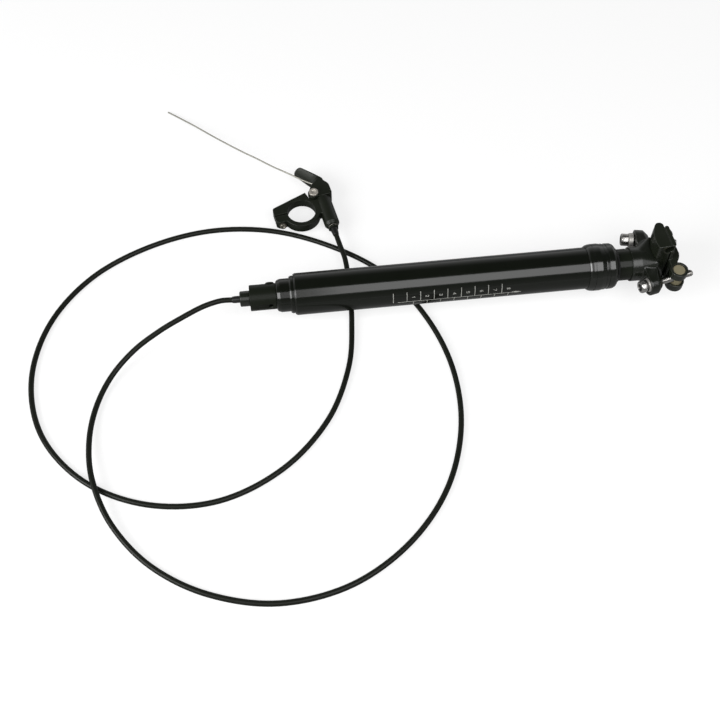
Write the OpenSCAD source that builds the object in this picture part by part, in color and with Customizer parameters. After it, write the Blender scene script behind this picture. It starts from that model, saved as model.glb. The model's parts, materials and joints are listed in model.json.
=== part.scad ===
// Dropper seatpost with a cable remote, lying on its side as it comes out of the box.
// X runs along the post from its base to the saddle, Z is up, and the origin is on the
// post's axis at the lower edge of the outer tube. Millimetres throughout.

/* [Outer tube] */
// Outside diameter, the size of the frame's seat tube
tube_od = 30.9; // [28:0.1:34.9]
// Wall thickness
tube_wall = 1.9; // [1.6:0.1:2.4]
// Length, threaded end included
tube_len = 225; // [200:1:300]
// Number of grooves in the bore that stop the post turning
groove_count = 3; // [2:1:4]
// Depth of a groove
groove_depth = 0.8; // [0.4:0.1:1]
// Width of a groove
groove_w = 2.6; // [2:0.1:4]

/* [Seal collar] */
// Largest diameter of the collar
collar_od = 35; // [33.5:0.1:40]
// Length of the collar
collar_len = 21.3; // [18:0.1:30]
// Length of the thread that the collar grips
collar_grip = 8; // [6:0.5:12]
// Depth of that thread below the tube's surface
thread_depth = 0.5; // [0.3:0.1:0.8]
// Step up from the tube to the collar's rear edge
collar_step = 0.9; // [0.4:0.1:1.2]
// Length of the tapered rear part of the collar
collar_taper = 5; // [3:0.5:7]
// Length of the rounded front of the collar
collar_nose = 8; // [5:0.5:9]
// Diameter of the collar's front rim
nose_od = 29.4; // [28.6:0.1:31]
// Width of the grip line round the collar
line_w = 0.8; // [0.4:0.1:1.5]
// Depth of the grip line
line_depth = 0.35; // [0.2:0.05:0.6]
// Diameter of the wiper seal in the collar
wiper_od = 27.6; // [26.6:0.1:28]
// How deep the wiper sits in the collar
wiper_seat = 3; // [2:0.5:5]
// How far the wiper's lip stands out of the collar
wiper_nose = 2.2; // [1:0.1:4]
// Length of the bushing under the collar
bushing_len = 20; // [12:1:30]

/* [Stanchion] */
// Outside diameter of the sliding tube
stanchion_od = 23.5; // [22:0.1:24]
// Wall thickness
stanchion_wall = 1.5; // [1.2:0.1:1.8]
// How far the post rises
travel = 100; // [50:5:125]
// Length of sliding tube that still shows when dropped
shown_len = 9.5; // [5:0.5:15]
// Space under the sliding tube when dropped
spare_len = 10; // [6:1:20]
// Length of the guide bushing on its lower end
guide_len = 15; // [10:1:25]

/* [Gas cartridge] */
// Bore of the cartridge
cartridge_bore = 15; // [13:0.5:16]
// Length of the gland that closes the cartridge
gland_len = 10; // [8:1:15]
// Thickness of the closed upper end
cartridge_end = 12; // [6:1:20]
// Distance of the cartridge from the sliding tube's lower end
cartridge_inset = 8; // [5:1:12]
// Diameter of the piston rod
rod_dia = 8; // [7:0.5:9]
// Length of the piston
piston_len = 8; // [5:1:12]
// Thickness of the retaining ring
ring_t = 1.6; // [1:0.1:2]
// How far the ring bites into the sliding tube
ring_bite = 0.6; // [0.4:0.1:0.8]
// Width of the retaining ring
ring_w = 2.4; // [1.8:0.1:3]

/* [Base] */
// Diameter of the cap's flange under the tube
flange_od = 27.6; // [26:0.1:30]
// Length of the flange
flange_len = 3; // [2:0.5:5]
// Diameter of the cap's collar
cap_od = 24.5; // [22:0.1:26]
// Length of the cap's collar
cap_len = 10; // [8:0.5:15]
// Rounding of the collar's edge
cap_round = 2; // [0.5:0.1:2.5]
// Length of the cap's thread in the tube
cap_thread_len = 12; // [8:1:18]
// Diameter of the cap's spigot in the actuator housing
spigot_od = 14; // [13:0.1:15]
// Length of that spigot
spigot_len = 9; // [8:0.5:11]
// How far the piston rod stands below the flange's face
rod_seat = 7; // [4:0.5:9]
// Diameter of the actuator housing
housing_od = 19.1; // [18:0.1:21]
// Length of the actuator housing
housing_len = 19.3; // [19:0.1:25]
// Thickness of the housing's end wall
housing_end = 3; // [2:0.5:4]
// Diameter of the cable stop
stop_od = 11.4; // [9:0.1:13]
// Length of the cable stop outside the housing
stop_len = 7.3; // [6:0.1:10]
// Bevel on the stop's edge
stop_bevel = 0.6; // [0.2:0.1:1]
// Diameter of the stop's threaded shank
stop_shank = 7; // [6:0.5:8]
// Diameter of the cable ferrule at the base
ferrule_od = 5.2; // [4.8:0.1:6]
// How far the ferrule sits in the stop
ferrule_seat = 4; // [2:0.5:5]
// How far the ferrule stands out of the stop
ferrule_len = 5.8; // [4:0.1:10]
// Diameter of the release rod
release_dia = 5; // [4:0.1:5.2]
// Diameter of the release rod's head
release_head = 8.4; // [7.6:0.1:9]
// Length of the release rod's head
release_head_len = 3.6; // [3.4:0.1:4]
// How far the wire pulls the release rod
release_travel = 2.8; // [1:0.1:3]
// Diameter of the inner wire
wire_dia = 1.2; // [1:0.1:1.6]
// Diameter of the wire's head
wire_head = 3.8; // [3:0.1:4.2]
// Direction of the lock screw, up from the far side
lock_angle = 32; // [0:1:90]
// Thread of the lock screw
lock_dia = 4.4; // [4:0.1:4.6]
// Diameter of the lock screw's head
lock_head = 6; // [5.8:0.1:7]
// How far the lock screw's head stands out
lock_proud = 1.3; // [0.8:0.1:2]

/* [Head] */
// Diameter of the head's socket round the sliding tube
socket_od = 25.7; // [25:0.1:28]
// Depth of the socket
socket_depth = 12; // [8:1:16]
// Height of the cradle's round seat axis above the sliding tube's shown length
seat_height = 41; // [40.5:0.5:42]
// Metal that the head keeps between the socket's floor and the cradle's seat
seat_wall = 3; // [2:0.1:4]
// Offset of that axis from the post's axis
seat_offset = 2; // [0:0.5:4]
// Half width of the head's seat block
block_half = 13; // [11:0.5:14]
// Half length of the seat block, fore and aft
block_reach = 13; // [11:0.5:14]
// Radius of the ears that take the bolts
ear_r = 7.9; // [7.4:0.1:8.4]
// Length of an ear along its bolt
ear_len = 10.4; // [9:0.1:11]
// Radius of an ear at its upper end
ear_tip = 4.3; // [4.2:0.1:5]
// Spacing of the bolt heads, fore and aft
bolt_span = 44; // [42:0.5:46]
// Offset of the pair of bolts from the post's axis
bolt_offset = 0.4; // [0:0.1:1]
// Distance of the bolt heads' seats above the socket's edge
bolt_seat = 5.5; // [5:0.1:6]
// How far the rear bolt's washer is let into its ear
rear_sink = 3.6; // [3:0.1:4]

/* [Saddle clamp] */
// Diameter of a saddle rail
rail_dia = 7; // [6.8:0.1:7.2]
// Distance between the two rails
rail_spacing = 43; // [42:0.5:44]
// Width of the clamp past each rail's centre
clamp_edge = 4.5; // [4.3:0.1:4.8]
// Radius of the cradle's round underside
cradle_r = 26; // [25.6:0.1:26.4]
// Distance of the rails below the seat's axis
rail_drop = 16.6; // [16.4:0.1:16.8]
// Height of the split between cradle and top clamp above the rails' centres
split_rise = 1.7; // [1.4:0.1:2]
// Gap between cradle and top clamp on the rails
split_gap = 1; // [0.6:0.1:1.4]
// Length of the rail grooves to the rear of the seat's axis
clamp_rear = 7; // [6:0.1:8]
// Rounding of the cradle's front end
tip_r = 3.4; // [3.2:0.1:3.6]
// Length of the top clamp to the front of the seat's axis
cap_front = 12; // [11:0.1:13]
// Rounding of the top clamp's ends
cap_round_r = 1.6; // [1.2:0.1:1.6]
// Wall of the top clamp over a rail
cap_wall = 1; // [0.8:0.1:1.6]
// Height of the top clamp's middle below the seat's axis
bridge_drop = 4.6; // [4:0.1:5.4]
// Radius of the top clamp's middle, end to end
bridge_crown = 14; // [13:0.5:18]
// Nose-up tilt as set
clamp_tilt = 4.5; // [0:0.5:6]
// Diameter of a barrel nut
nut_dia = 9.5; // [9:0.1:9.8]
// Length of a barrel nut
nut_len = 18.4; // [17:0.1:19]
// Wall of the rings round a barrel nut
boss_wall = 1.8; // [1.4:0.1:2]
// Width of the gap between those rings
boss_gap = 6.6; // [6.6:0.1:7.4]
// How far a barrel nut sits below the rings' faces
nut_recess = 0.4; // [0.2:0.1:0.8]
// Distance of the nuts below the seat's axis
nut_drop = 9.6; // [9.2:0.1:10]
// Distance of the nuts fore and aft of the seat's axis
nut_reach = 16.9; // [16.6:0.1:17.2]

/* [Clamp bolts] */
// Thread of the bolts
bolt_dia = 5; // [4.5:0.1:5.4]
// Diameter of the bolt heads
bolt_head = 8.5; // [8:0.1:9.5]
// Length of the bolt heads
bolt_head_len = 5.2; // [4:0.1:6]
// Width of the hexagon socket
bolt_key = 4; // [3:0.5:5]
// Length of the front bolt under its head
front_bolt_len = 36; // [34:0.5:40]
// Length of the rear bolt under its head
rear_bolt_len = 37; // [36:0.5:40]
// Diameter of the washers
washer_od = 10.4; // [9.6:0.1:11.5]
// Thickness of the washers
washer_t = 3.8; // [3:0.1:4]
// Height of the slope on a washer's lower edge, on which it rocks
washer_slope = 0.6; // [0.5:0.1:0.8]

/* [Remote body] */
// Diameter of the handlebar
bar_dia = 22.2; // [22:0.1:22.4]
// Wall of the ring round the bar
ring_wall = 3.7; // [3.4:0.1:4]
// Width of the ring along the bar
ring_width = 7.6; // [7:0.1:8]
// Width of the slit in the ring
slit_w = 1.2; // [0.8:0.1:2]
// Distance of the clamp screw from the bar's centre
screw_x = 17; // [16.6:0.1:18]
// Thread of the clamp screw
screw_dia = 4; // [3:0.5:4.5]
// Diameter of the clamp screw's head
screw_head = 5.5; // [5:0.1:6]
// Length of the clamp screw's head
screw_head_len = 2.2; // [1.5:0.1:3]
// Half depth of the clamp's ear at its near face
ear_face = 6.4; // [6:0.1:7]
// Distance of the cable barrel from the bar's centre
barrel_x = 20.25; // [20:0.05:21]
// Diameter of the cable barrel
barrel_od = 12; // [11:0.5:12]
// Where the barrel ends, towards the cable
barrel_end = 19; // [17:0.5:22]
// Where the lever meets the body
parting_y = 9.4; // [9:0.1:9.6]
// Where the remote lies: along the post
remote_x = 12.25;
// Where the remote lies: across from the post
remote_y = 89.57;
// How far the remote is turned
remote_turn = 10.5; // [10:0.5:11]

/* [Thumb lever] */
// Pivot's distance from the bar's centre, along the body
pivot_x = 13.7; // [13.5:0.1:14]
// Pivot's distance from the bar's centre, across the body
pivot_y = 13.3; // [13:0.1:13.6]
// Thread of the pivot bolt
pivot_dia = 4; // [3:0.5:5]
// Diameter of the pivot bolt's head
pivot_head = 7.4; // [7:0.1:8]
// Height of the pivot bolt's head
pivot_head_len = 1.6; // [1:0.1:2.5]
// Width across the pivot nut's flats
nut_flats = 7; // [6.5:0.5:8]
// Height of the pivot's nut
pivot_nut_len = 2.4; // [2:0.1:4]
// Radius of the lever's hub
hub_r = 4.6; // [4.4:0.1:5]
// How far the lever's shoulder reaches past the cable barrel
shoulder = 1.7; // [1:0.1:2]
// Radius of the lever's outer shoulder
shoulder_r = 5; // [4.5:0.1:5.5]
// Distance of that shoulder from the bar's centre, across the body
shoulder_y = 19; // [18.5:0.1:19.5]
// How far the wire's hole reaches into the lever
wire_reach = 18; // [17:0.5:20]
// Thickness of the lever
lever_t = 12; // [11:0.5:13]
// Thickness of the body's tongue in the lever's fork
tongue_t = 4.4; // [3.5:0.1:5]
// Depth of the thumb pad
pad_depth = 7.5; // [6:0.5:9]
// Width of the thumb pad at its tip
pad_w = 8; // [7:0.5:9]
// Diameter of the screw that grips the wire
anchor_dia = 4; // [3:0.5:5]

/* [Cable] */
// Diameter of the cable housing
cable_dia = 4; // [3.6:0.1:4.2]
// Width across the barrel adjuster's flats
adjuster_flats = 7.5; // [7:0.1:9]
// Length of the adjuster's hexagon
adjuster_len = 2.3; // [1.5:0.1:4]
// Diameter of the adjuster's thread
adjuster_dia = 6.4; // [6.2:0.1:7]
// Length of the adjuster's thread in the barrel
adjuster_thread = 9; // [6:0.5:12]
// Diameter of the ferrule at the remote
end_ferrule_od = 5.6; // [5:0.1:5.8]
// How far that ferrule sits in the adjuster
end_ferrule_seat = 3; // [2:0.5:4]
// How far it stands out of the adjuster
end_ferrule_len = 6.7; // [5:0.1:10]

/* [Clearances] */
// Radial clearance of a running fit
run_gap = 0.05; // [0.02:0.01:0.1]
// Radial clearance of a fit that is screwed or pressed together
seat_gap = 0.02; // [0.01:0.01:0.05]
// Clearance between parts that pass each other
free_gap = 0.3; // [0.2:0.05:0.5]
// Side clearance of a guide key in its groove
key_gap = 0.1; // [0.05:0.01:0.15]

/* [Hidden] */
$fn = 72;
hull_fn = 32;
over = 1;

// Finishes
black_gloss = "#141519";
black_satin = "#1d1e20";
black_rubber = "#191919";
bright_steel = "#c3c5c8";
grey_steel = "#8b8a84";
bronze = "#8c6f3e";
bare_alloy = "#b5b7ba";

// Radii
tube_r = tube_od / 2;
tube_bore_r = tube_r - tube_wall;
thread_r = tube_r - thread_depth;
collar_r = collar_od / 2;
stanchion_r = stanchion_od / 2;
stanchion_bore_r = stanchion_r - stanchion_wall;
rod_r = rod_dia / 2;
bolt_r = bolt_dia / 2;
rail_r = rail_dia / 2;
bar_r = bar_dia / 2;
nut_r = nut_dia / 2;
boss_r = nut_r + boss_wall;
wire_r = wire_dia / 2;
wire_hole_r = wire_r + free_gap;

// Stations along the post
collar_x = tube_len - collar_grip;
collar_front = collar_x + collar_len;
wiper_front = collar_front + wiper_nose;
head_x = wiper_front + shown_len;
seat_x = head_x + seat_height;
head_floor = seat_x - cradle_r - seat_wall;
socket_x = head_floor - socket_depth;
stanchion_x = cap_thread_len + spare_len;
cartridge_x = stanchion_x + cartridge_inset;
piston_x = cartridge_x + gland_len + travel + 2 * over;
cap_x = -flange_len - cap_len;
spigot_x = cap_x - spigot_len;
housing_x = cap_x - housing_len;
cavity_x = housing_x + housing_end;
stop_x = housing_x - stop_len;
ferrule_x = stop_x - ferrule_len;
rod_x = -flange_len - rod_seat;
release_x = cavity_x + release_travel + free_gap;
release_neck = release_x + release_head_len;
release_tip = rod_x + 14;
lock_x = cap_x - lock_head / 2 - 1.2;
lock_floor = housing_od / 2 - 0.6;
lock_rim = housing_od / 2 + lock_proud * 0.3;

// Guide keys
key_w = groove_w - 2 * key_gap;
key_len = guide_len - 3;
key_top = tube_bore_r + groove_depth - key_gap;

// Saddle clamp, in its own frame about the seat's axis
rail_half = rail_spacing / 2;
clamp_half = rail_half + clamp_edge;
clamp_split = -rail_drop + split_rise;
crown = -rail_drop + rail_r + cap_wall;
boss_half = nut_len / 2 + nut_recess;
floor_z = -clamp_half;
front = 1;
rear = -1;
// Centre of a barrel nut, front or rear
function nut_at(side) = [
    seat_x - nut_drop * cos(clamp_tilt) - side * nut_reach * sin(clamp_tilt),
    seat_offset - nut_drop * sin(clamp_tilt) + side * nut_reach * cos(clamp_tilt)
];
// How far a bolt's washer is let into its ear
function sink(side) = side == rear ? rear_sink : 0;
// Where a bolt's line starts beside the neck, and where its head seats on its washer
function bolt_start(side) = [head_x + bolt_seat, bolt_offset + side * bolt_span / 2];
function bolt_at(side) = bolt_start(side) + sink(side) * unit(nut_at(side) - bolt_start(side));
function bolt_angle(side) =
    atan2(nut_at(side)[1] - bolt_at(side)[1], nut_at(side)[0] - bolt_at(side)[0]);
function bolt_reach(side) = norm(nut_at(side) - bolt_at(side));
swing_gap = 0.75;
bolt_hole_r = bolt_r + swing_gap;
ear_start = washer_t + 0.25;

// Remote, in its own frame about the handlebar's axis
remote_z = floor_z + lever_t / 2 + pivot_nut_len;
ring_r = bar_r + ring_wall;
lever_half = lever_t / 2;
tongue_half = tongue_t / 2;
fork_half = tongue_half + 0.2;
pad_tip = [8.7, 39.9];
pad_root = [20.2, 25.6];
pad_mid = [14.8, 32.6];
wire_exit_z = 4.6;
adjuster_front = barrel_end + adjuster_len + free_gap;
ferrule_back = adjuster_front - end_ferrule_seat;
ferrule_front = adjuster_front + end_ferrule_len;

// Route of the cable housing: out of the base, down to the table, round the front loop and
// over the back loop's far end, back under the tube, round the back loop, under the tube again
// and up to the remote. It lies on the table at a centre height of -24.
cable_route = [
    [ferrule_x, 0, 0], [-54.5, 0, 0], [-67, -3, -1], [-82, -8.5, -4], [-100, -16, -8.5],
    [-119.5, -26.5, -15], [-136.5, -43, -21], [-147.5, -66.5, -23], [-151.5, -95, -21.5],
    [-148, -126.5, -19], [-135, -159.5, -21.5], [-110, -190, -23.7], [-73.5, -213, -24],
    [-28.5, -224, -24], [19, -217, -24], [61, -192, -24], [92, -154.5, -24], [108.5, -108, -24],
    [109.5, -59, -24], [96, -12, -24], [70, 30, -24], [31.5, 60.5, -24], [-13.5, 80.5, -24],
    [-62, 85.5, -24], [-110, 74.5, -24], [-152.5, 50, -24], [-182.5, 11.5, -24],
    [-194.5, -36, -24], [-185.5, -84, -24], [-155.5, -123, -24], [-112, -145.5, -24],
    [-63.5, -148, -24], [-18.5, -128.5, -24], [15.5, -94, -24], [34.5, -52.5, -23.8],
    [41, -13.5, -23], [42.5, 19.5, -20.5], [41.9, 40.9, -18.5], [39.3, 54.6, -17.6], cable_end()
];
// The last point is the face of the remote's ferrule
function cable_end() = remote_point([barrel_x, -ferrule_front, 0]);
// A point of the remote's own frame, seen from the post
function remote_point(p) = [
    remote_x + p[0] * cos(remote_turn) - p[1] * sin(remote_turn),
    remote_y + p[0] * sin(remote_turn) + p[1] * cos(remote_turn),
    remote_z + p[2]
];
// Route of the bare wire in the remote's frame, from inside the lever to its cut end on the table
wire_route = [
    [18, 21.2, 4.6], [16, 23.2, 4.6], [9.7, 29.2, 4.5], [0, 40.5, 4], [-10.5, 52.7, 3],
    [-20.5, 66, 1.7], [-31, 79.7, 0], [-46.5, 101.5, -2.5], [-62, 124.5, -5], [-78.5, 147.5, -7.7]
];
wire_out = atan2(wire_route[0][1] - wire_route[1][1], wire_route[0][0] - wire_route[1][0]);
cable_sides = 10;
wire_sides = 8;
cable_steps = 78;
wire_steps = 14;

// Points of a smooth curve through a route, a number of equal steps of its parameter
function spline_point(pts, i, t) =
    let (a = pts[max(i - 1, 0)], b = pts[i], c = pts[i + 1], d = pts[min(i + 2, len(pts) - 1)])
    0.5 * (2 * b + (c - a) * t + (2 * a - 5 * b + 4 * c - d) * t * t
           + (3 * b - a - 3 * c + d) * t * t * t);
function spline(pts, steps) = [
    for (k = [0 : steps])
        let (u = k * (len(pts) - 1) / steps, i = min(floor(u), len(pts) - 2))
        spline_point(pts, i, u - i)
];
function unit(v) = v / norm(v);
// Ring of a tube's section, square to the curve, with one side level
function ring_points(p, dir, r, sides) =
    let (across = unit(cross([0, 0, 1], dir)), up = cross(dir, across))
    [for (k = [0 : sides - 1]) p + r * (cos(360 * k / sides) * across + sin(360 * k / sides) * up)];

// Tube swept along a list of points, its end faces square to the directions given
module swept_tube(path, r, sides, first, final) {
    last = len(path) - 1;
    function along(i) = i == 0 ? first : i == last ? final : unit(path[i + 1] - path[i - 1]);
    rings = [for (i = [0 : last]) ring_points(path[i], along(i), r, sides)];
    points = [for (ring = rings) each ring];
    walls = [
        for (i = [0 : last - 1], k = [0 : sides - 1])
            let (a = i * sides + k, b = i * sides + (k + 1) % sides)
            each [[a, a + sides, b], [b, a + sides, b + sides]]
    ];
    caps = [[for (k = [0 : sides - 1]) k], [for (k = [sides - 1 : -1 : 0]) last * sides + k]];
    polyhedron(points = points, faces = concat(walls, caps));
}

// Points of an arc about a centre
function arc(centre, r, from, to, steps = 8) = [
    for (k = [0 : steps])
        let (a = from + (to - from) * k / steps)
        centre + r * [cos(a), sin(a)]
];

// A profile of [radius, station] points turned about the post's axis
module turned(profile) rotate([0, 90, 0]) rotate_extrude() polygon(profile);
// A round bar on the post's axis between two stations
module round_bar(r, from, to) translate([from, 0, 0]) rotate([0, 90, 0]) cylinder(r = r, h = to - from);
// A sleeve on the post's axis between two stations
module sleeve(outer, inner, from, to)
    turned([[inner, from], [outer, from], [outer, to], [inner, to]]);

module in_clamp() translate([seat_x, seat_offset, 0]) rotate([0, 0, clamp_tilt]) children();
module on_bolt(side)
    translate([bolt_at(side)[0], bolt_at(side)[1], 0])
        rotate([0, 0, bolt_angle(side)]) rotate([0, 90, 0]) children();
module on_lock() translate([lock_x, 0, 0]) rotate([lock_angle - 90, 0, 0]) children();
module in_remote() translate([remote_x, remote_y, remote_z]) rotate([0, 0, remote_turn]) children();
// Along the cable barrel, away from the lever
module on_barrel(from) translate([barrel_x, -from, 0]) rotate([90, 0, 0]) children();
module at_pivot(z = 0) translate([pivot_x, pivot_y, z]) children();
module each_key()
    for (k = [0 : groove_count - 1]) rotate([360 / groove_count * k, 0, 0]) children();

// Outer tube, threaded at the top for the collar, grooved inside for the guide keys
module outer_tube() color(black_gloss) difference() {
    turned([
        [tube_bore_r, 0], [tube_r, 0], [tube_r, collar_x],
        [thread_r, collar_x], [thread_r, tube_len], [tube_bore_r, tube_len]
    ]);
    each_key() translate([-over, -groove_w / 2, 0])
        cube([tube_len + 2 * over, groove_w, tube_bore_r + groove_depth]);
}

// Collar screwed on the tube, with a tapered rear, one grip line and a rounded nose
module seal_collar() color(black_gloss) {
    nose_r = nose_od / 2;
    taper_x = collar_x + collar_taper;
    nose_x = collar_front - collar_nose;
    nose_curve = [
        for (a = [0 : 10 : 90])
            [nose_r + (collar_r - nose_r) * cos(a), nose_x + collar_nose * sin(a)]
    ];
    turned(concat(
        [[thread_r + seat_gap, collar_x], [tube_r + collar_step, collar_x], [collar_r, taper_x],
         [collar_r - line_depth, taper_x + line_w / 4], [collar_r - line_depth, taper_x + line_w * 3 / 4],
         [collar_r, taper_x + line_w]],
        nose_curve,
        [[wiper_od / 2 + seat_gap, collar_front], [wiper_od / 2 + seat_gap, collar_front - wiper_seat],
         [stanchion_r + 2 * free_gap, collar_front - wiper_seat],
         [stanchion_r + 2 * free_gap, tube_len], [thread_r + seat_gap, tube_len]]
    ));
}

// Rubber wiper whose lip runs on the sliding tube
module wiper_seal() color(black_rubber) {
    back = collar_front - wiper_seat;
    lip_r = stanchion_r + run_gap;
    turned([
        [lip_r, back], [wiper_od / 2, back], [wiper_od / 2, collar_front],
        [wiper_od / 2 - wiper_nose / 3, wiper_front - wiper_nose / 3],
        [stanchion_r + 3 * free_gap, wiper_front], [lip_r, wiper_front]
    ]);
}

// Plain bushing pressed in the top of the tube
module upper_bushing() color(bronze)
    sleeve(tube_bore_r - seat_gap, stanchion_r + run_gap, tube_len - bushing_len, tube_len);

// Cap screwed in the tube's lower end, holding the piston rod and the actuator housing
module bottom_cap() color(black_gloss) difference() {
    cap_r0 = cap_od / 2;
    turned(concat(
        [[release_dia / 2 + free_gap, spigot_x], [spigot_od / 2, spigot_x], [spigot_od / 2, cap_x]],
        [for (p = arc([cap_r0 - cap_round, cap_x + cap_round], cap_round, -90, 0)) p],
        [[cap_r0, -flange_len], [flange_od / 2, -flange_len], [flange_od / 2, 0],
         [tube_bore_r - seat_gap, 0], [tube_bore_r - seat_gap, cap_thread_len],
         [rod_r + seat_gap, cap_thread_len], [rod_r + seat_gap, rod_x],
         [release_dia / 2 + free_gap, rod_x]]
    ));
    on_lock() cylinder(r = lock_dia / 2 + seat_gap, h = housing_od);
}

// Housing for the release rod, screwed on the cap's spigot, drilled right across
module actuator_housing() color(black_satin) difference() {
    turned([
        [stop_shank / 2 + seat_gap, housing_x], [housing_od / 2, housing_x], [housing_od / 2, cap_x],
        [spigot_od / 2 + seat_gap, cap_x], [spigot_od / 2 + seat_gap, spigot_x],
        [release_head / 2 + free_gap, spigot_x], [release_head / 2 + free_gap, cavity_x],
        [stop_shank / 2 + seat_gap, cavity_x]
    ]);
    on_lock() translate([0, 0, -housing_od]) cylinder(r = lock_dia / 2 + seat_gap, h = 2 * housing_od);
    on_lock() translate([0, 0, lock_floor]) cylinder(r = lock_head / 2 + seat_gap, h = housing_od);
}

// Screw that locks the housing on the spigot
module lock_screw() color(black_satin) on_lock() difference() {
    union() {
        translate([0, 0, spigot_od / 2 - 2]) cylinder(r = lock_dia / 2, h = lock_floor - spigot_od / 2 + 2);
        translate([0, 0, lock_floor]) cylinder(r = lock_head / 2, h = lock_rim - lock_floor);
        translate([0, 0, lock_rim])
            cylinder(r1 = lock_head / 2, r2 = lock_head / 3, h = lock_proud * 0.7);
    }
    translate([0, 0, lock_floor + lock_proud / 2]) cylinder(r = lock_dia / 3, h = housing_od, $fn = 6);
}

// Knob screwed in the housing's end that takes the cable's ferrule
module cable_stop() color(black_satin) turned([
    [wire_hole_r, stop_x + ferrule_seat], [ferrule_od / 2 + seat_gap, stop_x + ferrule_seat],
    [ferrule_od / 2 + seat_gap, stop_x], [stop_od / 2 - stop_bevel, stop_x],
    [stop_od / 2, stop_x + stop_bevel], [stop_od / 2, housing_x], [stop_shank / 2, housing_x],
    [stop_shank / 2, cavity_x], [wire_hole_r, cavity_x]
]);

// Ferrule on the cable's end at the base
module post_ferrule() color(black_rubber)
    sleeve(ferrule_od / 2, wire_hole_r, ferrule_x, stop_x + ferrule_seat);

// Rod and piston of the gas cartridge, hollow where the release rod enters it
module cartridge_rod() color(bright_steel) difference() {
    union() {
        round_bar(rod_r, rod_x, piston_x);
        round_bar(cartridge_bore / 2 - run_gap, piston_x, piston_x + piston_len);
    }
    round_bar(release_dia / 2 + run_gap, rod_x - over, release_tip + over);
}

// Rod that the wire pulls to open the cartridge's valve, slotted for the wire's head
module release_rod() color(bare_alloy) {
    pocket_x = release_x + over;
    difference() {
        union() {
            round_bar(release_head / 2, release_x, release_neck);
            round_bar(release_dia / 2, release_neck, release_tip);
        }
        round_bar(wire_head / 2 + seat_gap, pocket_x, release_neck);
        round_bar(wire_hole_r, release_x - over, pocket_x + over);
        translate([pocket_x, -wire_head / 2 - seat_gap, 0])
            cube([release_neck - pocket_x, wire_head + 2 * seat_gap, release_head]);
        translate([release_x - over, -wire_hole_r, 0]) cube([2 * over, 2 * wire_hole_r, release_head]);
    }
}

// The wire's cast head in the release rod, with the wire as far as the ferrule
module wire_head_end() color(bright_steel) {
    round_bar(wire_head / 2, release_x + over, release_neck);
    round_bar(wire_r, ferrule_x + release_travel + over, release_x + over);
}

// Sliding tube, grooved inside for the retaining ring
module stanchion_tube() color(black_gloss) {
    groove_r = stanchion_bore_r + ring_bite + seat_gap;
    turned([
        [stanchion_bore_r, stanchion_x], [stanchion_r, stanchion_x], [stanchion_r, head_floor],
        [stanchion_bore_r, head_floor], [stanchion_bore_r, cartridge_x], [groove_r, cartridge_x],
        [groove_r, cartridge_x - ring_t - seat_gap], [stanchion_bore_r, cartridge_x - ring_t - seat_gap]
    ]);
}

// Bushing on the sliding tube's lower end, slotted for the guide keys
module lower_bushing() color(bronze) difference() {
    sleeve(tube_bore_r - run_gap, stanchion_r + seat_gap, stanchion_x, stanchion_x + guide_len);
    each_key() translate([stanchion_x - over, -key_w / 2 - seat_gap, 0])
        cube([key_len + over, key_w + 2 * seat_gap, tube_r]);
}

// Keys in the bushing's slots that run in the tube's grooves
module guide_keys() color(bronze) each_key()
    translate([stanchion_x, -key_w / 2, stanchion_r + seat_gap])
        cube([key_len, key_w, key_top - stanchion_r - seat_gap]);

// Gas cartridge, closed at the top against the head
module cartridge_body() color(bare_alloy) turned([
    [cartridge_bore / 2, cartridge_x], [stanchion_bore_r - seat_gap, cartridge_x],
    [stanchion_bore_r - seat_gap, head_floor], [0, head_floor], [0, head_floor - cartridge_end],
    [cartridge_bore / 2, head_floor - cartridge_end]
]);

// Gland that closes the cartridge round the rod
module cartridge_gland() color(bronze)
    sleeve(cartridge_bore / 2 - seat_gap, rod_r + run_gap, cartridge_x, cartridge_x + gland_len);

// Spring ring that holds the cartridge up in the sliding tube
module retaining_ring() color(grey_steel) difference() {
    ring_out = stanchion_bore_r + ring_bite;
    sleeve(ring_out, ring_out - ring_w, cartridge_x - ring_t, cartridge_x);
    translate([cartridge_x - ring_t - over, -ring_w, 0]) cube([ring_t + 2 * over, 2 * ring_w, tube_r]);
}

// Forged head: a socket for the sliding tube, a neck that flares into the cradle's round seat,
// and an ear each side for a bolt
module post_head() color(black_satin) {
    block_top = seat_x - sqrt(cradle_r * cradle_r - block_reach * block_reach);
    neck_x = socket_x + socket_depth / 2;
    difference() {
        union() {
            round_bar(socket_od / 2, socket_x, head_floor + 3);
            hull($fn = hull_fn) {
                round_bar(socket_od / 2 - 0.2, neck_x, neck_x + 3);
                translate([head_floor + 4, seat_offset, 0]) for (e = [-1, 1], s = [-1, 1])
                    translate([0, e * (block_reach - 3), s * (block_half - 3)])
                        rotate([0, 90, 0]) cylinder(r = 3, h = block_top - head_floor - 4);
            }
            for (side = [front, rear]) hull($fn = hull_fn) {
                on_bolt(side) translate([0, 0, ear_start - sink(side)])
                    cylinder(r = ear_r, h = ear_len * 0.6);
                on_bolt(side) translate([0, 0, ear_start - sink(side)]) cylinder(r = ear_tip, h = ear_len);
                round_bar(block_half - 4, neck_x + 2, head_floor + 6);
            }
        }
        translate([seat_x, seat_offset, 0])
            cylinder(r = cradle_r + run_gap, h = 4 * block_half, center = true);
        for (side = [front, rear]) on_bolt(side) cylinder(r = bolt_hole_r, h = rear_bolt_len);
        for (side = [front, rear]) on_bolt(side) translate([0, 0, -washer_od])
            cylinder(r = washer_od / 2 + 2 * free_gap, h = washer_od + ear_start);
        round_bar(stanchion_r + seat_gap, socket_x - over, head_floor);
    }
}

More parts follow.
